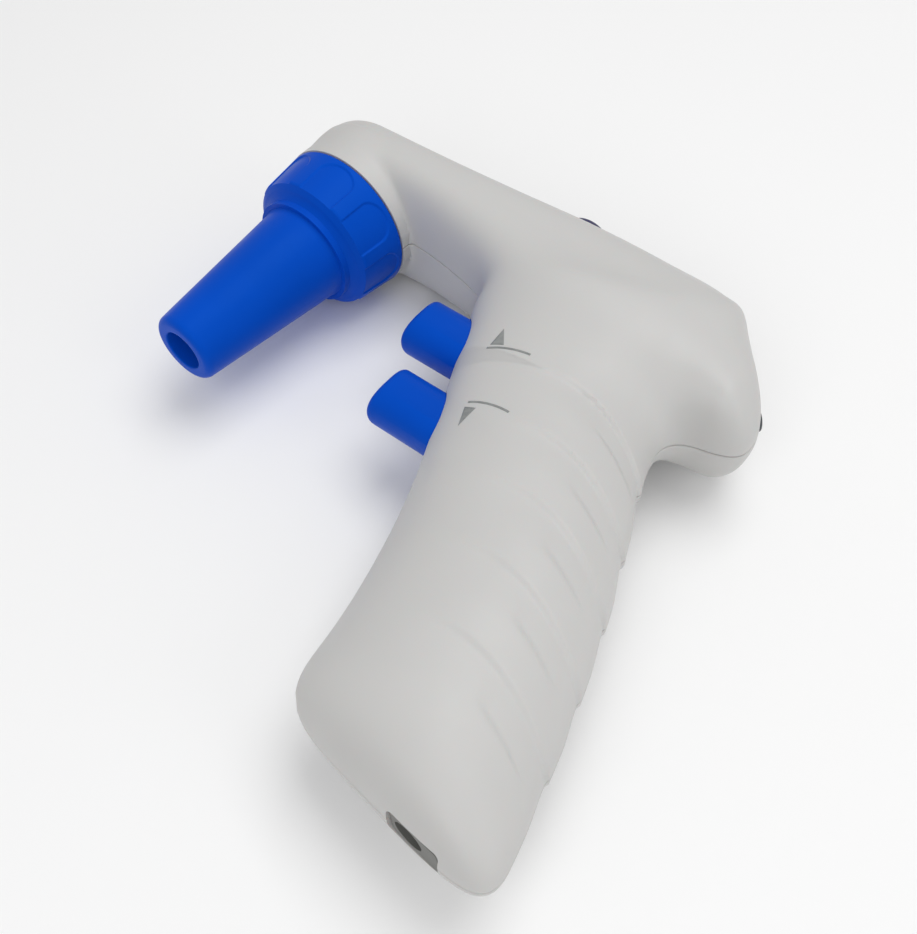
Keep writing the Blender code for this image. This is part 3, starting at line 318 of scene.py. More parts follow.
def outline_rays(density):
    """Spine node and ray angle of each station round the housing, in order."""
    head = between(SPINE_FRONT, SPINE_JOIN, round(11 * density))
    tail = between(SPINE_JOIN, SPINE_REAR, round(7 * density))
    grip = between(SPINE_JOIN, SPINE_FOOT, round(14 * density))
    rays = [(node, math.pi / 2) for node in reversed(head[1:])]
    fan = round(8 * density)
    rays += [(head[0], math.pi / 2 + math.pi * k / fan) for k in range(fan)]
    forward = GRIP_TILT - math.pi
    for node in head:
        aim = -math.pi / 2
        if node[0] > FRONT_PIVOT[0]:
            aim = max(angle_to(node, FRONT_PIVOT), forward)
        rays.append((node, aim))
    for k, node in enumerate(grip[1:], 1):
        aim = forward
        if k <= len(grip) // 2:
            aim = max(angle_to(node, FRONT_PIVOT), forward)
        rays.append((node, aim))
    corner = grip_point(112.0, 27.0)
    face = between(grip_point(89.0, -24.0), corner, round(9 * density))
    back = between(corner, grip_point(86.0, 27.0), round(5 * density))
    rays += [(grip[-1], angle_to(grip[-1], target)) for target in face + back[1:-1]]
    for node in list(reversed(grip)) + tail[1:]:
        rays.append((node, min(angle_to(node, REAR_PIVOT), GRIP_TILT)))
    first = angle_to(tail[-1], REAR_PIVOT)
    fan = round(10 * density)
    rays += [(tail[-1], first + (math.pi / 2 - first) * k / fan) for k in range(1, fan)]
    rays += [(node, math.pi / 2) for node in reversed(tail)]
    return rays[:-1]


def grid_faces(rows, columns, closed):
    """Quads of a grid of vertices numbered row by row."""
    i = np.arange(rows if closed else rows - 1)[:, None]
    j = np.arange(columns - 1)[None, :]
    a = i * columns + j
    b = (i + 1) % rows * columns + j
    return np.stack([a, b, b + 1, a + 1], -1).reshape(-1, 4)


def ring_faces(rows, columns):
    """Quads of a grid of vertices that closes on itself both ways."""
    i = np.arange(rows)[:, None]
    j = np.arange(columns)[None, :]
    following = (i + 1) % rows * columns
    after = (j + 1) % columns
    return np.stack([i * columns + j, following + j, following + after, i * columns + after],
                    -1).reshape(-1, 4)


def mesh_object(name, points, faces):
    """An object from design points in millimetres, placed in the row frame."""
    mesh = bpy.data.meshes.new(name)
    mesh.from_pydata((np.asarray(points) * MM + np.array(ORIGIN)).tolist(), [],
                     [list(f) for f in faces])
    piece = bpy.data.objects.new(name, mesh)
    bpy.context.scene.collection.objects.link(piece)
    return piece


def tidy_normals(piece, smooth_angle=None):
    """Weld doubles, face outwards and shade smooth, but for edges sharper than the angle."""
    bm = bmesh.new()
    bm.from_mesh(piece.data)
    bmesh.ops.remove_doubles(bm, verts=bm.verts, dist=WELD * MM)
    bmesh.ops.recalc_face_normals(bm, faces=bm.faces)
    bm.to_mesh(piece.data)
    bm.free()
    piece.data.shade_smooth()
    if smooth_angle:
        piece.data.set_sharp_from_angle(angle=math.radians(smooth_angle))


def unit(vectors):
    return vectors / np.linalg.norm(vectors, axis=-1, keepdims=True)


def half_shell(name, side):
    """One half of the housing: a fine outer skin with its relief and a plain inner wall."""
    rays = outline_rays(FINE)
    count = len(rays)
    nodes = np.array([[*node, 0.0] for node, _ in rays])[:, None, :]
    flat = np.array([[math.cos(a), math.sin(a), 0.0] for _, a in rays])[:, None, :]
    level_rows = []
    for height in SEAM_ROWS:
        raised = nodes + np.array([0.0, 0.0, height])
        level_rows.append(surface_from(raised, flat))
    flat_reach = np.linalg.norm(level_rows[-1] - nodes, axis=-1)
    first = np.arcsin(SEAM_CLEAR / flat_reach)
    share = np.linspace(0.0, 1.0, LIFT_STEPS)

    def lifted(lifts):
        turned_up = np.broadcast_to(np.array([0.0, 0.0, 1.0]), lifts.shape + (3,))
        return flat * np.cos(lifts)[..., None] + turned_up * np.sin(lifts)[..., None]

    aim = lifted(first + (math.pi / 2 - first) * share)
    outer = np.concatenate(level_rows + [surface_from(nodes, aim)], axis=1)
    normal = unit(field_gradient(outer))
    outer = outer - normal * (scoops(outer) + seam_round(outer))[..., None]
    outer[:, 0, 2] = SEAM
    aim = lifted(np.broadcast_to(np.linspace(0.0, math.pi / 2, INNER_ROWS), (count, INNER_ROWS)))
    skin = surface_from(nodes, aim)
    inner = surface_from(nodes, aim, -WALL * np.linalg.norm(field_gradient(skin), axis=-1))
    inner[:, 0, 2] = SEAM
    rows, inner_rows = outer.shape[1], inner.shape[1]
    points = np.concatenate([outer.reshape(-1, 3), inner.reshape(-1, 3)])
    points[:, 2] *= side
    base = count * rows
    i = np.arange(count)
    j = (i + 1) % count
    rim = np.stack([i * rows, j * rows, base + j * inner_rows, base + i * inner_rows], -1)
    faces = np.concatenate([grid_faces(count, rows, True),
                            grid_faces(count, inner_rows, True) + base, rim])
    piece = mesh_object(name, points, faces)
    tidy_normals(piece)
    return piece


# ---- cutters -------------------------------------------------------------------------------
def rounded_rectangle(half_a, half_b, corner, steps=6, centre=(0.0, 0.0)):
    """Outline of a rectangle with round corners, counter-clockwise."""
    points = []
    for quarter in range(4):
        ca = (half_a - corner) * (1 if quarter in (0, 3) else -1)
        cb = (half_b - corner) * (1 if quarter < 2 else -1)
        for k in range(steps + 1):
            turn = math.pi / 2 * (quarter + k / steps)
            points.append((centre[0] + ca + corner * math.cos(turn),
                           centre[1] + cb + corner * math.sin(turn)))
    return points


def lofted(name, sections):
    """A closed body through matching rings of design points, with flat ends."""
    count = len(sections[0])
    points = [p for ring in sections for p in ring]
    faces = []
    for k in range(len(sections) - 1):
        for i in range(count):
            j = (i + 1) % count
            a, b = k * count, (k + 1) * count
            faces.append((a + i, a + j, b + j, b + i))
    faces.append(tuple(range(count)))
    faces.append(tuple(range(len(points) - count, len(points))))
    piece = mesh_object(name, points, faces)
    tidy_normals(piece)
    return piece


def prism(name, outline, low, high, axis):
    """An extruded outline of (a, b) points from low to high along one axis."""
    order = {"z": lambda a, b, h: (a, b, h), "x": lambda a, b, h: (h, a, b),
             "y": lambda a, b, h: (a, h, b)}[axis]
    return lofted(name, [[order(a, b, h) for a, b in outline] for h in (low, high)])


def circle(radius, steps, centre=(0.0, 0.0)):
    return [(centre[0] + radius * math.cos(math.tau * k / steps),
             centre[1] + radius * math.sin(math.tau * k / steps)) for k in range(steps)]


def turned(name, profile, steps=96, smooth_angle=40.0):
    """A closed (radius, height) outline turned about the design Y axis."""
    angles = np.arange(steps) * math.tau / steps
    points = [(r * math.sin(a), h, r * math.cos(a)) for a in angles for r, h in profile]
    piece = mesh_object(name, points, ring_faces(steps, len(profile)))
    tidy_normals(piece, smooth_angle)
    return piece


def apply_modifiers(piece):
    """Bake a piece's modifiers into its mesh."""
    depsgraph = bpy.context.evaluated_depsgraph_get()
    baked = bpy.data.meshes.new_from_object(piece.evaluated_get(depsgraph))
    piece.modifiers.clear()
    piece.data = baked


def carve(piece, tools):
    """Cut tools out of a piece, one Boolean each, and remove them."""
    for tool in tools:
        modifier = piece.modifiers.new(tool.name, "BOOLEAN")
        modifier.operation = "DIFFERENCE"
        modifier.solver = "MANIFOLD"
        modifier.object = tool
        apply_modifiers(piece)
        bpy.data.objects.remove(tool, do_unlink=True)


def move(piece, matrix):
    """Move a piece's mesh by a matrix given in design millimetres."""
    to_design = Matrix.Scale(1 / MM, 4) @ Matrix.Translation(-ORIGIN)
    piece.data.transform(to_design.inverted() @ matrix @ to_design)
    return piece


def frame_at(place, turn):
    """Local axes at a place in the symmetry plane, turned about Z."""
    return Matrix.Translation((*place, 0.0)) @ Matrix.Rotation(turn, 4, "Z")


def housing_cutters():
    """The openings that both halves share, as fresh cutters."""
    tools = [prism("collar_seat", circle(25.0, 96), 30.0, COLLAR_BACK_Y + GAP, "y"),
             prism("neck_hole", circle(NECK_R + GAP, 64), 40.0, 62.0, "y")]
    for name in ("aspirate", "dispense"):
        low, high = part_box(f"{name}_trigger")
        low, high = (low - ORIGIN) / MM, (high - ORIGIN) / MM
        slot = rounded_rectangle(PAD_HALF_Y + GAP, PAD_HALF_Z + GAP, PAD_CORNER + GAP, 12,
                                 ((low.y + high.y) / 2, 0.0))
        tools.append(prism(f"{name}_slot", slot, low.x - 4.0, high.x - FLANGE_THICK + 1.0, "x"))
    mode = rounded_rectangle(*MODE_SLOT, 6, (MODE_X, 0.0))
    tools.append(prism("mode_slot", mode, 74.0, 90.0, "y"))
    hole = prism("indicator_hole", circle(LENS_R + GAP / 2, 40), 3.0, 20.0, "x")
    tools.append(move(hole, frame_at(INDICATOR, INDICATOR_TURN)))
    recess = rounded_rectangle(PLATE[0] / 2 + GAP, PLATE[1] / 2 + GAP, 1.4, 6,
                               (PLATE_SHIFT, 0.0))
    recess = prism("socket_recess", recess, -6.0, PLATE[2] + 0.2, "y")
    tools.append(move(recess, frame_at(SOCKET, SOCKET_TURN)))
    room = JACK_HALF + GAP
    opening = prism("socket_opening", rounded_rectangle(room, room, 0.5, 3), -7.0, 8.0, "y")
    tools.append(move(opening, frame_at(SOCKET, SOCKET_TURN)))
    return tools


def screw_places():
    """Where the five housing screws stand in the symmetry plane."""
    return [(23.5, 64.0), (102.3, 51.7), grip_point(45.0, -15.2), grip_point(88.5, -14.0),
            grip_point(90.0, 19.3)]


def make_housing():
    """Both halves of the housing with every opening; the right one has the screws' wells."""
    halves = {}
    for side_name, side in (("left", 1.0), ("right", -1.0)):
        piece = half_shell(f"shell_{side_name}", side)
        tools = housing_cutters()
        if side < 0:
            for number, place in enumerate(screw_places(), 1):
                well = circle(WELL_R, 40, place)
                well = prism(f"well_{number}", well, -30.0, SCREW_HEAD_Z, "z")
                clear = circle(CLEARANCE_R, 24, place)
                clear = prism(f"clear_{number}", clear, -30.0, 1.0, "z")
                tools += [well, clear]
        carve(piece, tools)
        piece.data.shade_smooth()
        piece.data.set_sharp_from_angle(angle=math.radians(32.0))
        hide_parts(f"housing_{side_name}")
        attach(piece, "housing")
        halves[side_name] = piece
    return halves


# ---- nosepiece and triggers ----------------------------------------------------------------
def arc(centre, radius, start, end, steps):
    """Points on a circle in (radius, height) space, angles in degrees."""
    return [(centre[0] + radius * math.cos(math.radians(start + (end - start) * k / steps)),
             centre[1] + radius * math.sin(math.radians(start + (end - start) * k / steps)))
            for k in range(steps + 1)]


def collar_radius(y):
    """The collar's tapered skin."""
    taper = (COLLAR_BACK_R - COLLAR_FRONT_R) / (COLLAR_BACK_Y - COLLAR_FRONT_Y)
    return COLLAR_FRONT_R + taper * (y - COLLAR_FRONT_Y)


def pocketed_radius(r, y, turn):
    """Radius of the collar's skin where a shallow arched pocket dips into it."""
    pitch = math.tau / POCKETS
    off = (turn - POCKET_TURN + pitch / 2) % pitch - pitch / 2
    across = off * COLLAR_FRONT_R / POCKET_HALF
    rise = max(0.0, y - POCKET_SHOULDER_Y) / POCKET_ARCH
    inside = (1 - math.hypot(across, rise)) * (POCKET_HALF if rise == 0 else POCKET_ARCH)
    blend = min(1.0, max(0.0, inside / POCKET_EDGE + 0.5))
    floor = collar_radius(y) - POCKET_DEPTH
    return min(r, r + (floor - r) * blend)


def make_nosepiece():
    """The blue cone with its collar, flat pockets and bore, on a fine grid."""
    outer = arc((MOUTH_R + 0.4, 0.4), 0.4, 180, 270, 4)
    outer += [(6.0, 0.0), (MOUTH_FLAT_R, 0.0)]
    outer += arc((MOUTH_FLAT_R, MOUTH_ROUND), MOUTH_ROUND, -80, -3, 8)
    tip_r, tip_y = CONE_TIP
    slope = (CONE_BASE_R - tip_r) / (CONE_BASE_Y - tip_y)
    outer += [(tip_r + slope * (y - tip_y), y) for y in np.linspace(4.0, CONE_BASE_Y - 1.0, 12)]
    outer += arc((CONE_BASE_R + LEDGE_ROUND, CONE_BASE_Y + 0.3), LEDGE_ROUND, 176, 106, 24)
    outer += arc((COLLAR_FRONT_R - RIM_ROUND - 0.05, COLLAR_FRONT_Y - 0.3), RIM_ROUND, -74, -6.5, 12)
    outer += [(collar_radius(y), y)
              for y in np.arange(COLLAR_FRONT_Y + 0.5, COLLAR_BACK_Y - 0.5, 0.17)]
    outer += arc((COLLAR_BACK_R - COLLAR_ROUND, COLLAR_BACK_Y - COLLAR_ROUND), COLLAR_ROUND,
                 10, 90, 4)
    inner = [(NECK_R + 0.6, COLLAR_BACK_Y), (NECK_R + GAP, COLLAR_BACK_Y - 0.3),
             (NECK_R + GAP, SEAT_Y - 3.6), (9.6, SEAT_Y - 3.6), (6.9, 7.0), (MOUTH_R, 7.0),
             (MOUTH_R, 3.0)]
    profile = outer + inner
    steps = 720
    points = []
    for k in range(steps):
        turn = math.tau * k / steps
        for index, (r, y) in enumerate(profile):
            if index < len(outer) and y > COLLAR_FRONT_Y - 2.0:
                r = pocketed_radius(r, y, turn)
            points.append((r * math.sin(turn), y, r * math.cos(turn)))
    piece = mesh_object("nose_cone", points, ring_faces(steps, len(profile)))
    tidy_normals(piece, 40.0)
    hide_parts("nosepiece")
    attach(piece, "nosepiece")
    return piece


def make_trigger(name):
    """A finger pad with a softly rounded front and its flange behind the housing wall."""
    low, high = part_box(f"{name}_trigger")
    low, high = (low - ORIGIN) / MM, (high - ORIGIN) / MM
    y = (low.y + high.y) / 2
    flange = high.x - FLANGE_THICK
    tip = low.x
    face = rounded_rectangle(PAD_HALF_Y - PAD_TIP_ROUND, PAD_HALF_Z - PAD_TIP_ROUND,
                             PAD_CORNER - PAD_TIP_ROUND, 12)
    sections = [[(tip + PAD_CROWN * (share * b) ** 2, y + share * a, share * b) for a, b in face]
                for share in (0.02, 0.2, 0.4, 0.6, 0.8, 0.93)]
    steps = 9
    for k in range(steps + 1):
        turn = math.pi / 2 * k / steps
        inset = PAD_TIP_ROUND * (1 - math.sin(turn))
        pad = rounded_rectangle(PAD_HALF_Y - inset, PAD_HALF_Z - inset, PAD_CORNER - inset, 12)
        front = tip + PAD_TIP_ROUND * (1 - math.cos(turn))
        sections.append([(front + PAD_CROWN * b * b, y + a, b) for a, b in pad])
    sections.append([(flange - 0.2, y + a, b) for a, b in pad])
    for x, grow in ((flange - 0.05, 0.15), (flange, FLANGE_LIP - 0.2), (flange + 0.2, FLANGE_LIP),
                    (high.x - 0.2, FLANGE_LIP), (high.x, FLANGE_LIP - 0.2)):
        lip = rounded_rectangle(PAD_HALF_Y + grow, PAD_HALF_Z + grow, PAD_CORNER, 12)
        sections.append([(x, y + a, b) for a, b in lip])
    piece = lofted(f"{name}_pad", sections)
    tidy_normals(piece, 50.0)
    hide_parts(f"{name}_trigger")
    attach(piece, f"{name}_trigger")
    return piece


def make_knob():
    """The round knob of the mode switch, with a dished top and a soft edge."""
    low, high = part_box("mode_knob")
    top = (high - ORIGIN).y / MM
    base = top - KNOB_RISE
    outline = [(0.0, top - 0.7)] + arc((0.0, top + 17.3), 18.0, -88, -74, 6)
    outline += arc((KNOB_R - KNOB_EDGE, top - KNOB_EDGE), KNOB_EDGE, 86, 0, 9)
    outline += [(KNOB_R, base + 0.4), (KNOB_R - 0.4, base), (2.4, base), (2.4, base - 2.6),
                (1.4, base - 2.8), (1.4, base - 6.8), (0.0, base - 6.8)]
    piece = turned("knob", outline)
    move(piece, Matrix.Translation((MODE_X, 0.0, 0.0)))
    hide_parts("mode_knob")
    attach(piece, "mode_knob")
    return piece


def make_plate():
    """The socket's plate with its hole and softened edges."""
    outline = rounded_rectangle(PLATE[0] / 2, PLATE[1] / 2, 1.2, 8, (PLATE_SHIFT, 0.0))
    inner = rounded_rectangle(PLATE[0] / 2 - PLATE_EDGE, PLATE[1] / 2 - PLATE_EDGE,
                              1.2 - PLATE_EDGE, 8, (PLATE_SHIFT, 0.0))
    sections = [[(a, h, b) for a, b in ring]
                for ring, h in ((inner, 0.0), (outline, PLATE_EDGE), (outline, PLATE[2]))]
    piece = lofted("plate", sections)
    carve(piece, [turned("plate_hole", [(0.0, -1.0), (PLATE_HOLE_R, -1.0), (PLATE_HOLE_R, 3.0),
                                        (0.0, 3.0)], 64, 35.0)])
    tidy_normals(piece, 40.0)
    move(piece, frame_at(SOCKET, SOCKET_TURN))
    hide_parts("socket_plate")
    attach(piece, "housing")
    return piece


def make_lens():
    """The smoked lens at the rear end, domed just proud of the housing."""
    aim = np.array([[math.cos(INDICATOR_TURN), math.sin(INDICATOR_TURN), 0.0]])
    start = np.array([[*INDICATOR, 0.0]])
    skin = float(np.linalg.norm(surface_from(start, aim) - start))
    outline = [(0.0, skin - 4.2), (LENS_R, skin - 4.2)]
    outline += arc((LENS_R - LENS_EDGE, skin + 0.05), LENS_EDGE, 0, 65, 5)
    outline += [(1.2, skin + 0.54), (0.6, skin + 0.59), (0.0, skin + 0.6)]
    piece = turned("dome", outline, 64)
    move(piece, frame_at(INDICATOR, INDICATOR_TURN) @ Matrix.Rotation(-math.pi / 2, 4, "Z"))
    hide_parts("indicator_lens")
    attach(piece, "housing")
    return piece


# ---- printed marks -------------------------------------------------------------------------
MARK_THICK = 0.06


def left_height(x, y):
    """Height of the left half's skin over a place in the symmetry plane."""
    start = np.array([[x, y, 0.0]])
    return float(surface_from(start, np.array([[0.0, 0.0, 1.0]]))[0, 2])


def printed(name, strip):
    """A printed mark: two matching rows of places that lie on the left half's skin."""
    points, faces = [], []
    columns = len(strip[0])
    for row in strip:
        for x, y in row:
            z = left_height(x, y)
            points.append((x, y, z + MARK_THICK / 2))
    for i in range(len(strip) - 1):
        for j in range(columns - 1):
            a = i * columns + j
            faces.append((a, a + 1, a + columns + 1, a + columns))
    piece = mesh_object(name, points, faces)
    tidy_normals(piece)
    thick = piece.modifiers.new("ink", "SOLIDIFY")
    thick.thickness = MARK_THICK * MM
    thick.offset = 0.0
    apply_modifiers(piece)
    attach(piece, "housing")
    return piece


def triangle_rows(a, b, c, count=8):
    """Rows of places that sweep from corner a to the side b to c."""
    rows = []
    for i in range(count + 1):
        s = max(i / count, 0.002)
        left = (a[0] + (b[0] - a[0]) * s, a[1] + (b[1] - a[1]) * s)
        right = (a[0] + (c[0] - a[0]) * s, a[1] + (c[1] - a[1]) * s)
        rows.append([(left[0] + (right[0] - left[0]) * j / count,
                      left[1] + (right[1] - left[1]) * j / count) for j in range(count + 1)])
    return rows


def stroke_rows(start, bend, end, width, count=28):
    """Rows of places along a curved stroke of even width with round ends."""
    rows = []
    for i in range(count + 1):
        s = i / count
        x = (1 - s) ** 2 * start[0] + 2 * s * (1 - s) * bend[0] + s * s * end[0]
        y = (1 - s) ** 2 * start[1] + 2 * s * (1 - s) * bend[1] + s * s * end[1]
        dx = (1 - s) * (bend[0] - start[0]) + s * (end[0] - bend[0])
        dy = (1 - s) * (bend[1] - start[1]) + s * (end[1] - bend[1])
        scale = width / 2 / math.hypot(dx, dy)
        rows.append([(x - dy * scale * k, y + dx * scale * k) for k in (-1.0, 0.0, 1.0)])
    return rows


def make_marks():
    """Plain arrows beside the triggers: up for drawing in, down for letting out."""
    return [
        printed("mark_up_arrow", triangle_rows((62.9, 40.5), (62.8, 35.8), (65.9, 36.5))),
        printed("mark_up_stroke", stroke_rows((62.6, 34.8), (68.0, 36.4), (72.9, 36.6), 0.5)),
        printed("mark_down_arrow", triangle_rows((70.9, 14.6), (68.9, 19.3), (71.6, 19.6))),
        printed("mark_down_stroke", stroke_rows((68.8, 20.6), (73.6, 21.9), (78.7, 21.5), 0.5)),
    ]


# ---- materials -----------------------------------------------------------------------------
class Nodes:
    """Short helper to build one node material."""

    def __init__(self, name, colour, roughness, metallic=0.0):
        self.material = bpy.data.materials.new(name)
        self.material.use_nodes = True
        self.tree = self.material.node_tree
        self.shader = self.tree.nodes["Principled BSDF"]
        self.shader.inputs["Base Color"].default_value = (*colour, 1.0)
        self.shader.inputs["Roughness"].default_value = roughness
        self.shader.inputs["Metallic"].default_value = metallic
        self.place = self.tree.nodes.new("ShaderNodeTexCoord")
        self.bump_in = None

    def noise(self, scale, detail=3.0, stretch=None):
        """Noise in the object's own metres; stretch scales each axis."""
        node = self.tree.nodes.new("ShaderNodeTexNoise")
        node.inputs["Scale"].default_value = scale
        node.inputs["Detail"].default_value = detail
        source = self.place.outputs["Object"]
        if stretch:
            mapping = self.tree.nodes.new("ShaderNodeMapping")
            mapping.inputs["Scale"].default_value = stretch
            self.tree.links.new(source, mapping.inputs["Vector"])
            source = mapping.outputs["Vector"]
        self.tree.links.new(source, node.inputs["Vector"])
        return node.outputs["Fac"]

    def span(self, value, low, high, start=0.35, end=0.65):
        """Map noise to a range."""
        node = self.tree.nodes.new("ShaderNodeMapRange")
        node.inputs["From Min"].default_value = start
        node.inputs["From Max"].default_value = end
        node.inputs["To Min"].default_value = low
        node.inputs["To Max"].default_value = high
        self.tree.links.new(value, node.inputs["Value"])
        return node.outputs["Result"]

    def colour_between(self, value, first, second):
        node = self.tree.nodes.new("ShaderNodeValToRGB")
        node.color_ramp.elements[0].position = 0.35
        node.color_ramp.elements[0].color = (*first, 1.0)
        node.color_ramp.elements[1].position = 0.65
        node.color_ramp.elements[1].color = (*second, 1.0)
        self.tree.links.new(value, node.inputs["Fac"])
        self.tree.links.new(node.outputs["Color"], self.shader.inputs["Base Color"])

    def rough(self, value, low, high):
        self.tree.links.new(self.span(value, low, high), self.shader.inputs["Roughness"])

    def bump(self, value, strength, distance):
        node = self.tree.nodes.new("ShaderNodeBump")
        node.inputs["Strength"].default_value = strength
        node.inputs["Distance"].default_value = distance
        self.tree.links.new(value, node.inputs["Height"])
        if self.bump_in:
            self.tree.links.new(self.bump_in, node.inputs["Normal"])
        self.bump_in = node.outputs["Normal"]
        self.tree.links.new(self.bump_in, self.shader.inputs["Normal"])


def moulded(name, colour, roughness, grain, variation=0.03, specular=0.5, subsurface=0.0,
            ior=1.5, sheen=(1.0, 1.0, 1.0)):
    """Moulded plastic: fine spark-eroded grain, slight flow marks and uneven gloss."""
    made = Nodes(name, colour, roughness)
    cloud = made.noise(28.0, 4.0)
    darker = tuple(c * (1 - variation) for c in colour)
    lighter = tuple(min(1.0, c * (1 + variation)) for c in colour)
    made.colour_between(cloud, darker, lighter)
    made.rough(made.noise(90.0, 5.0), roughness - 0.05, roughness + 0.06)
    made.bump(made.noise(2600.0, 2.0), 0.25, grain)
    made.bump(made.noise(120.0, 3.0), 0.12, grain * 4)
    made.shader.inputs["Specular IOR Level"].default_value = specular
    if subsurface:
        made.shader.inputs["Subsurface Weight"].default_value = subsurface
        made.shader.inputs["Subsurface Scale"].default_value = 0.002
    made.shader.inputs["IOR"].default_value = ior
    made.shader.inputs["Specular Tint"].default_value = (*sheen, 1.0)
    return made.material


def turned_metal(name, colour, roughness):
    """Machined metal: fine rings of tool marks and a patchy sheen."""
    made = Nodes(name, colour, roughness, 1.0)
    made.colour_between(made.noise(60.0, 4.0), tuple(c * 0.9 for c in colour), colour)
    made.rough(made.noise(300.0, 4.0), roughness - 0.06, roughness + 0.12)
    made.bump(made.noise(900.0, 3.0, (6.0, 1.0, 1.0)), 0.3, 0.00003)
    return made.material


def soft_rubber(name, colour, roughness, grain=0.00002):
    """Rubber, silicone or insulation: dull, slightly dusty."""
    made = Nodes(name, colour, roughness)
    made.colour_between(made.noise(140.0, 5.0), tuple(c * 0.9 for c in colour),
                        tuple(min(1.0, c * 1.12 + 0.004) for c in colour))
    made.rough(made.noise(400.0, 4.0), roughness - 0.08, roughness + 0.08)
    made.bump(made.noise(1800.0, 3.0), 0.3, grain)
    return made.material


def make_finishes():
    """One node material for each of the record's slots."""
    return {
        "housing_grey": moulded("housing_grey", (0.56, 0.555, 0.545), 0.46, 0.000012, 0.012,
                                0.42, 0.08),
        "blue_plastic": moulded("blue_plastic", (0.002, 0.070, 0.52), 0.36, 0.00001, 0.05, 0.5, 0.0,
                                1.16, (0.15, 0.6, 1.0)),
        "silicone": soft_rubber("silicone", (0.66, 0.67, 0.66), 0.62),
        "filter_white": soft_rubber("filter_white", (0.82, 0.82, 0.80), 0.85, 0.00004),
        "white_plastic": moulded("white_plastic", (0.74, 0.74, 0.72), 0.5, 0.00002, 0.02),
        "black_rubber": soft_rubber("black_rubber", (0.02, 0.02, 0.02), 0.68),
        "steel": turned_metal("steel", (0.58, 0.58, 0.59), 0.3),
        "brass": turned_metal("brass", (0.68, 0.50, 0.20), 0.34),
        "dark_plastic": moulded("dark_plastic", (0.022, 0.022, 0.024), 0.5, 0.00002, 0.15),
        # navy_plastic: the blue plastic darkened to navy, painted shade on the mode knob
        "navy_plastic": moulded("navy_plastic", (0.035, 0.035, 0.10), 0.42, 0.00001, 0.08),
        "plate_grey": moulded("plate_grey", (0.15, 0.15, 0.14), 0.5, 0.00001, 0.06),
        "lens": moulded("lens", (0.06, 0.065, 0.075), 0.12, 0.000004, 0.05, 0.6),
        "board_green": moulded("board_green", (0.02, 0.15, 0.07), 0.42, 0.00003, 0.2),
        "cell_sleeve": moulded("cell_sleeve", (0.03, 0.20, 0.09), 0.36, 0.00001, 0.1),
        "foam": soft_rubber("foam", (0.05, 0.05, 0.05), 0.95, 0.0002),
        "lead_red": soft_rubber("lead_red", (0.42, 0.02, 0.02), 0.5),
        "lead_black": soft_rubber("lead_black", (0.02, 0.02, 0.02), 0.5),
    }


def ink():
    """Grey printing ink, slightly uneven at its edges."""
    made = Nodes("mark_ink", (0.26, 0.27, 0.265), 0.6)
    made.colour_between(made.noise(700.0, 4.0), (0.23, 0.24, 0.235), (0.29, 0.30, 0.295))
    made.rough(made.noise(500.0), 0.52, 0.66)
    made.bump(made.noise(2600.0), 0.2, 0.00001)
    return made.material


def dress(piece, material):
    """Give a piece one material and no other."""
    piece.data.materials.clear()
    piece.data.materials.append(material)


# ---- stage ---------------------------------------------------------------------------------
# Camera place and axes in design millimetres.
CAMERA_AT = (167.68, -95.86, 196.6)
CAMERA_RIGHT = (0.7785, 0.6268, -0.0325)
CAMERA_UP = (-0.49, 0.6393, 0.5927)
FOCAL = 44.33
SENSOR = 36.0
FLOOR_HALF = 3.0                     # metres
FLOOR_GAP = 0.0005                   # metres under the controller's lowest point
SKY = 0.50                           # strength of the even light from all round


def make_camera():
    """The camera, at the photograph's angle to the controller."""
    data = bpy.data.cameras.new("camera")
    data.lens = FOCAL
    data.sensor_width = SENSOR
    data.sensor_fit = "AUTO"
    data.clip_start = 0.01
    camera = bpy.data.objects.new("camera", data)
    right = Vector(CAMERA_RIGHT).normalized()
    back = right.cross(Vector(CAMERA_UP)).normalized()
    up = back.cross(right)
    turn = Matrix((right, up, back)).transposed().to_4x4()
    camera.matrix_world = Matrix.Translation(ORIGIN + Vector(CAMERA_AT) * MM) @ turn
    bpy.context.scene.collection.objects.link(camera)
    bpy.context.scene.camera = camera


def area_light(name, place, target, size, power):
    """A soft rectangular light at a place in the row frame, in metres and watts."""
    data = bpy.data.lights.new(name, "AREA")
    data.shape = "RECTANGLE"
    data.size, data.size_y = size
    data.energy = power
    light = bpy.data.objects.new(name, data)
    aim = Vector(target) - Vector(place)
    light.matrix_world = (Matrix.Translation(Vector(place))
                          @ aim.to_track_quat("-Z", "Y").to_matrix().to_4x4())
    bpy.context.scene.collection.objects.link(light)


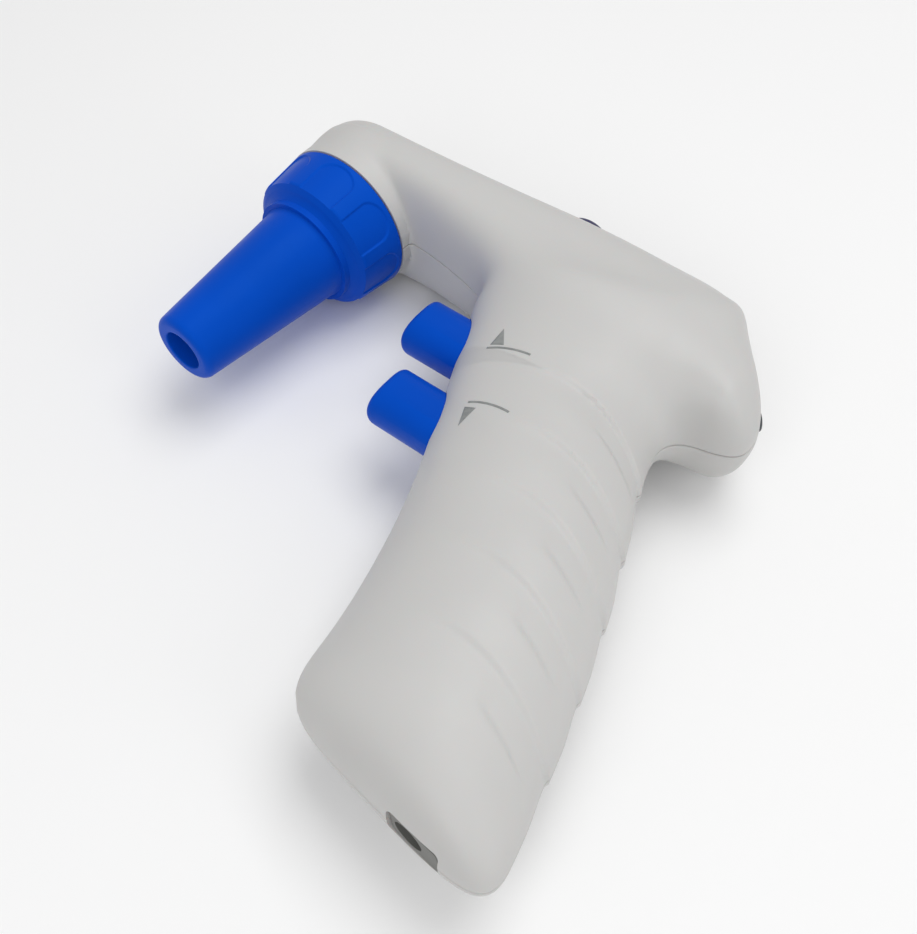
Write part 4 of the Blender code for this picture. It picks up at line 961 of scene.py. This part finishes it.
def make_stage():
    """A pale floor under the controller and soft studio light."""
    floor = bpy.data.meshes.new("floor")
    corners = [(-FLOOR_HALF, -FLOOR_HALF), (FLOOR_HALF, -FLOOR_HALF), (FLOOR_HALF, FLOOR_HALF),
               (-FLOOR_HALF, FLOOR_HALF)]
    level = cad_low.z - FLOOR_GAP
    floor.from_pydata([(x, y, level) for x, y in corners], [], [(0, 1, 2, 3)])
    floor = bpy.data.objects.new("floor", floor)
    bpy.context.scene.collection.objects.link(floor)
    paper = Nodes("floor_paper", (0.93, 0.93, 0.93), 0.9)
    paper.colour_between(paper.noise(3.0), (0.925, 0.925, 0.925), (0.935, 0.935, 0.935))
    dress(floor, paper.material)
    world = bpy.data.worlds.new("studio")
    world.use_nodes = True
    world.node_tree.nodes["Background"].inputs["Color"].default_value = (1.0, 1.0, 1.0, 1.0)
    world.node_tree.nodes["Background"].inputs["Strength"].default_value = SKY
    bpy.context.scene.world = world
    area_light("key", (0.10, 0.28, 0.86), (0.0, 0.0, 0.0), (0.7, 0.5), 3.3)
    area_light("rear_strip", (0.75, 0.05, 0.35), (0.05, 0.0, 0.02), (0.25, 0.7), 0.6)
    area_light("low_fill", (0.20, -0.55, 0.62), (0.0, 0.0, 0.0), (0.6, 0.6), 1.6)


# ---- assembly ------------------------------------------------------------------------------
make_camera()
halves = make_housing()
nose = make_nosepiece()
pads = [make_trigger("aspirate"), make_trigger("dispense")]
knob, plate, lens = make_knob(), make_plate(), make_lens()
marks = make_marks()

finishes = make_finishes()
slot_of = {entry["node"]: entry["material_slot"] for entry in frame["record"]["subparts"]}
for node, piece in frame["nodes"].items():
    dress(piece, finishes[slot_of[node]])
for piece in halves.values():
    dress(piece, finishes["housing_grey"])
for piece in [nose] + pads:
    dress(piece, finishes["blue_plastic"])
# the knob's navy is painted shade: the blue plastic darkened as if in shadow
dress(knob, finishes["navy_plastic"])
dress(plate, finishes["plate_grey"])
dress(lens, finishes["lens"])
mark_ink = ink()
for piece in marks:
    dress(piece, mark_ink)

make_stage()
bpy.context.scene.view_settings.view_transform = "Standard"
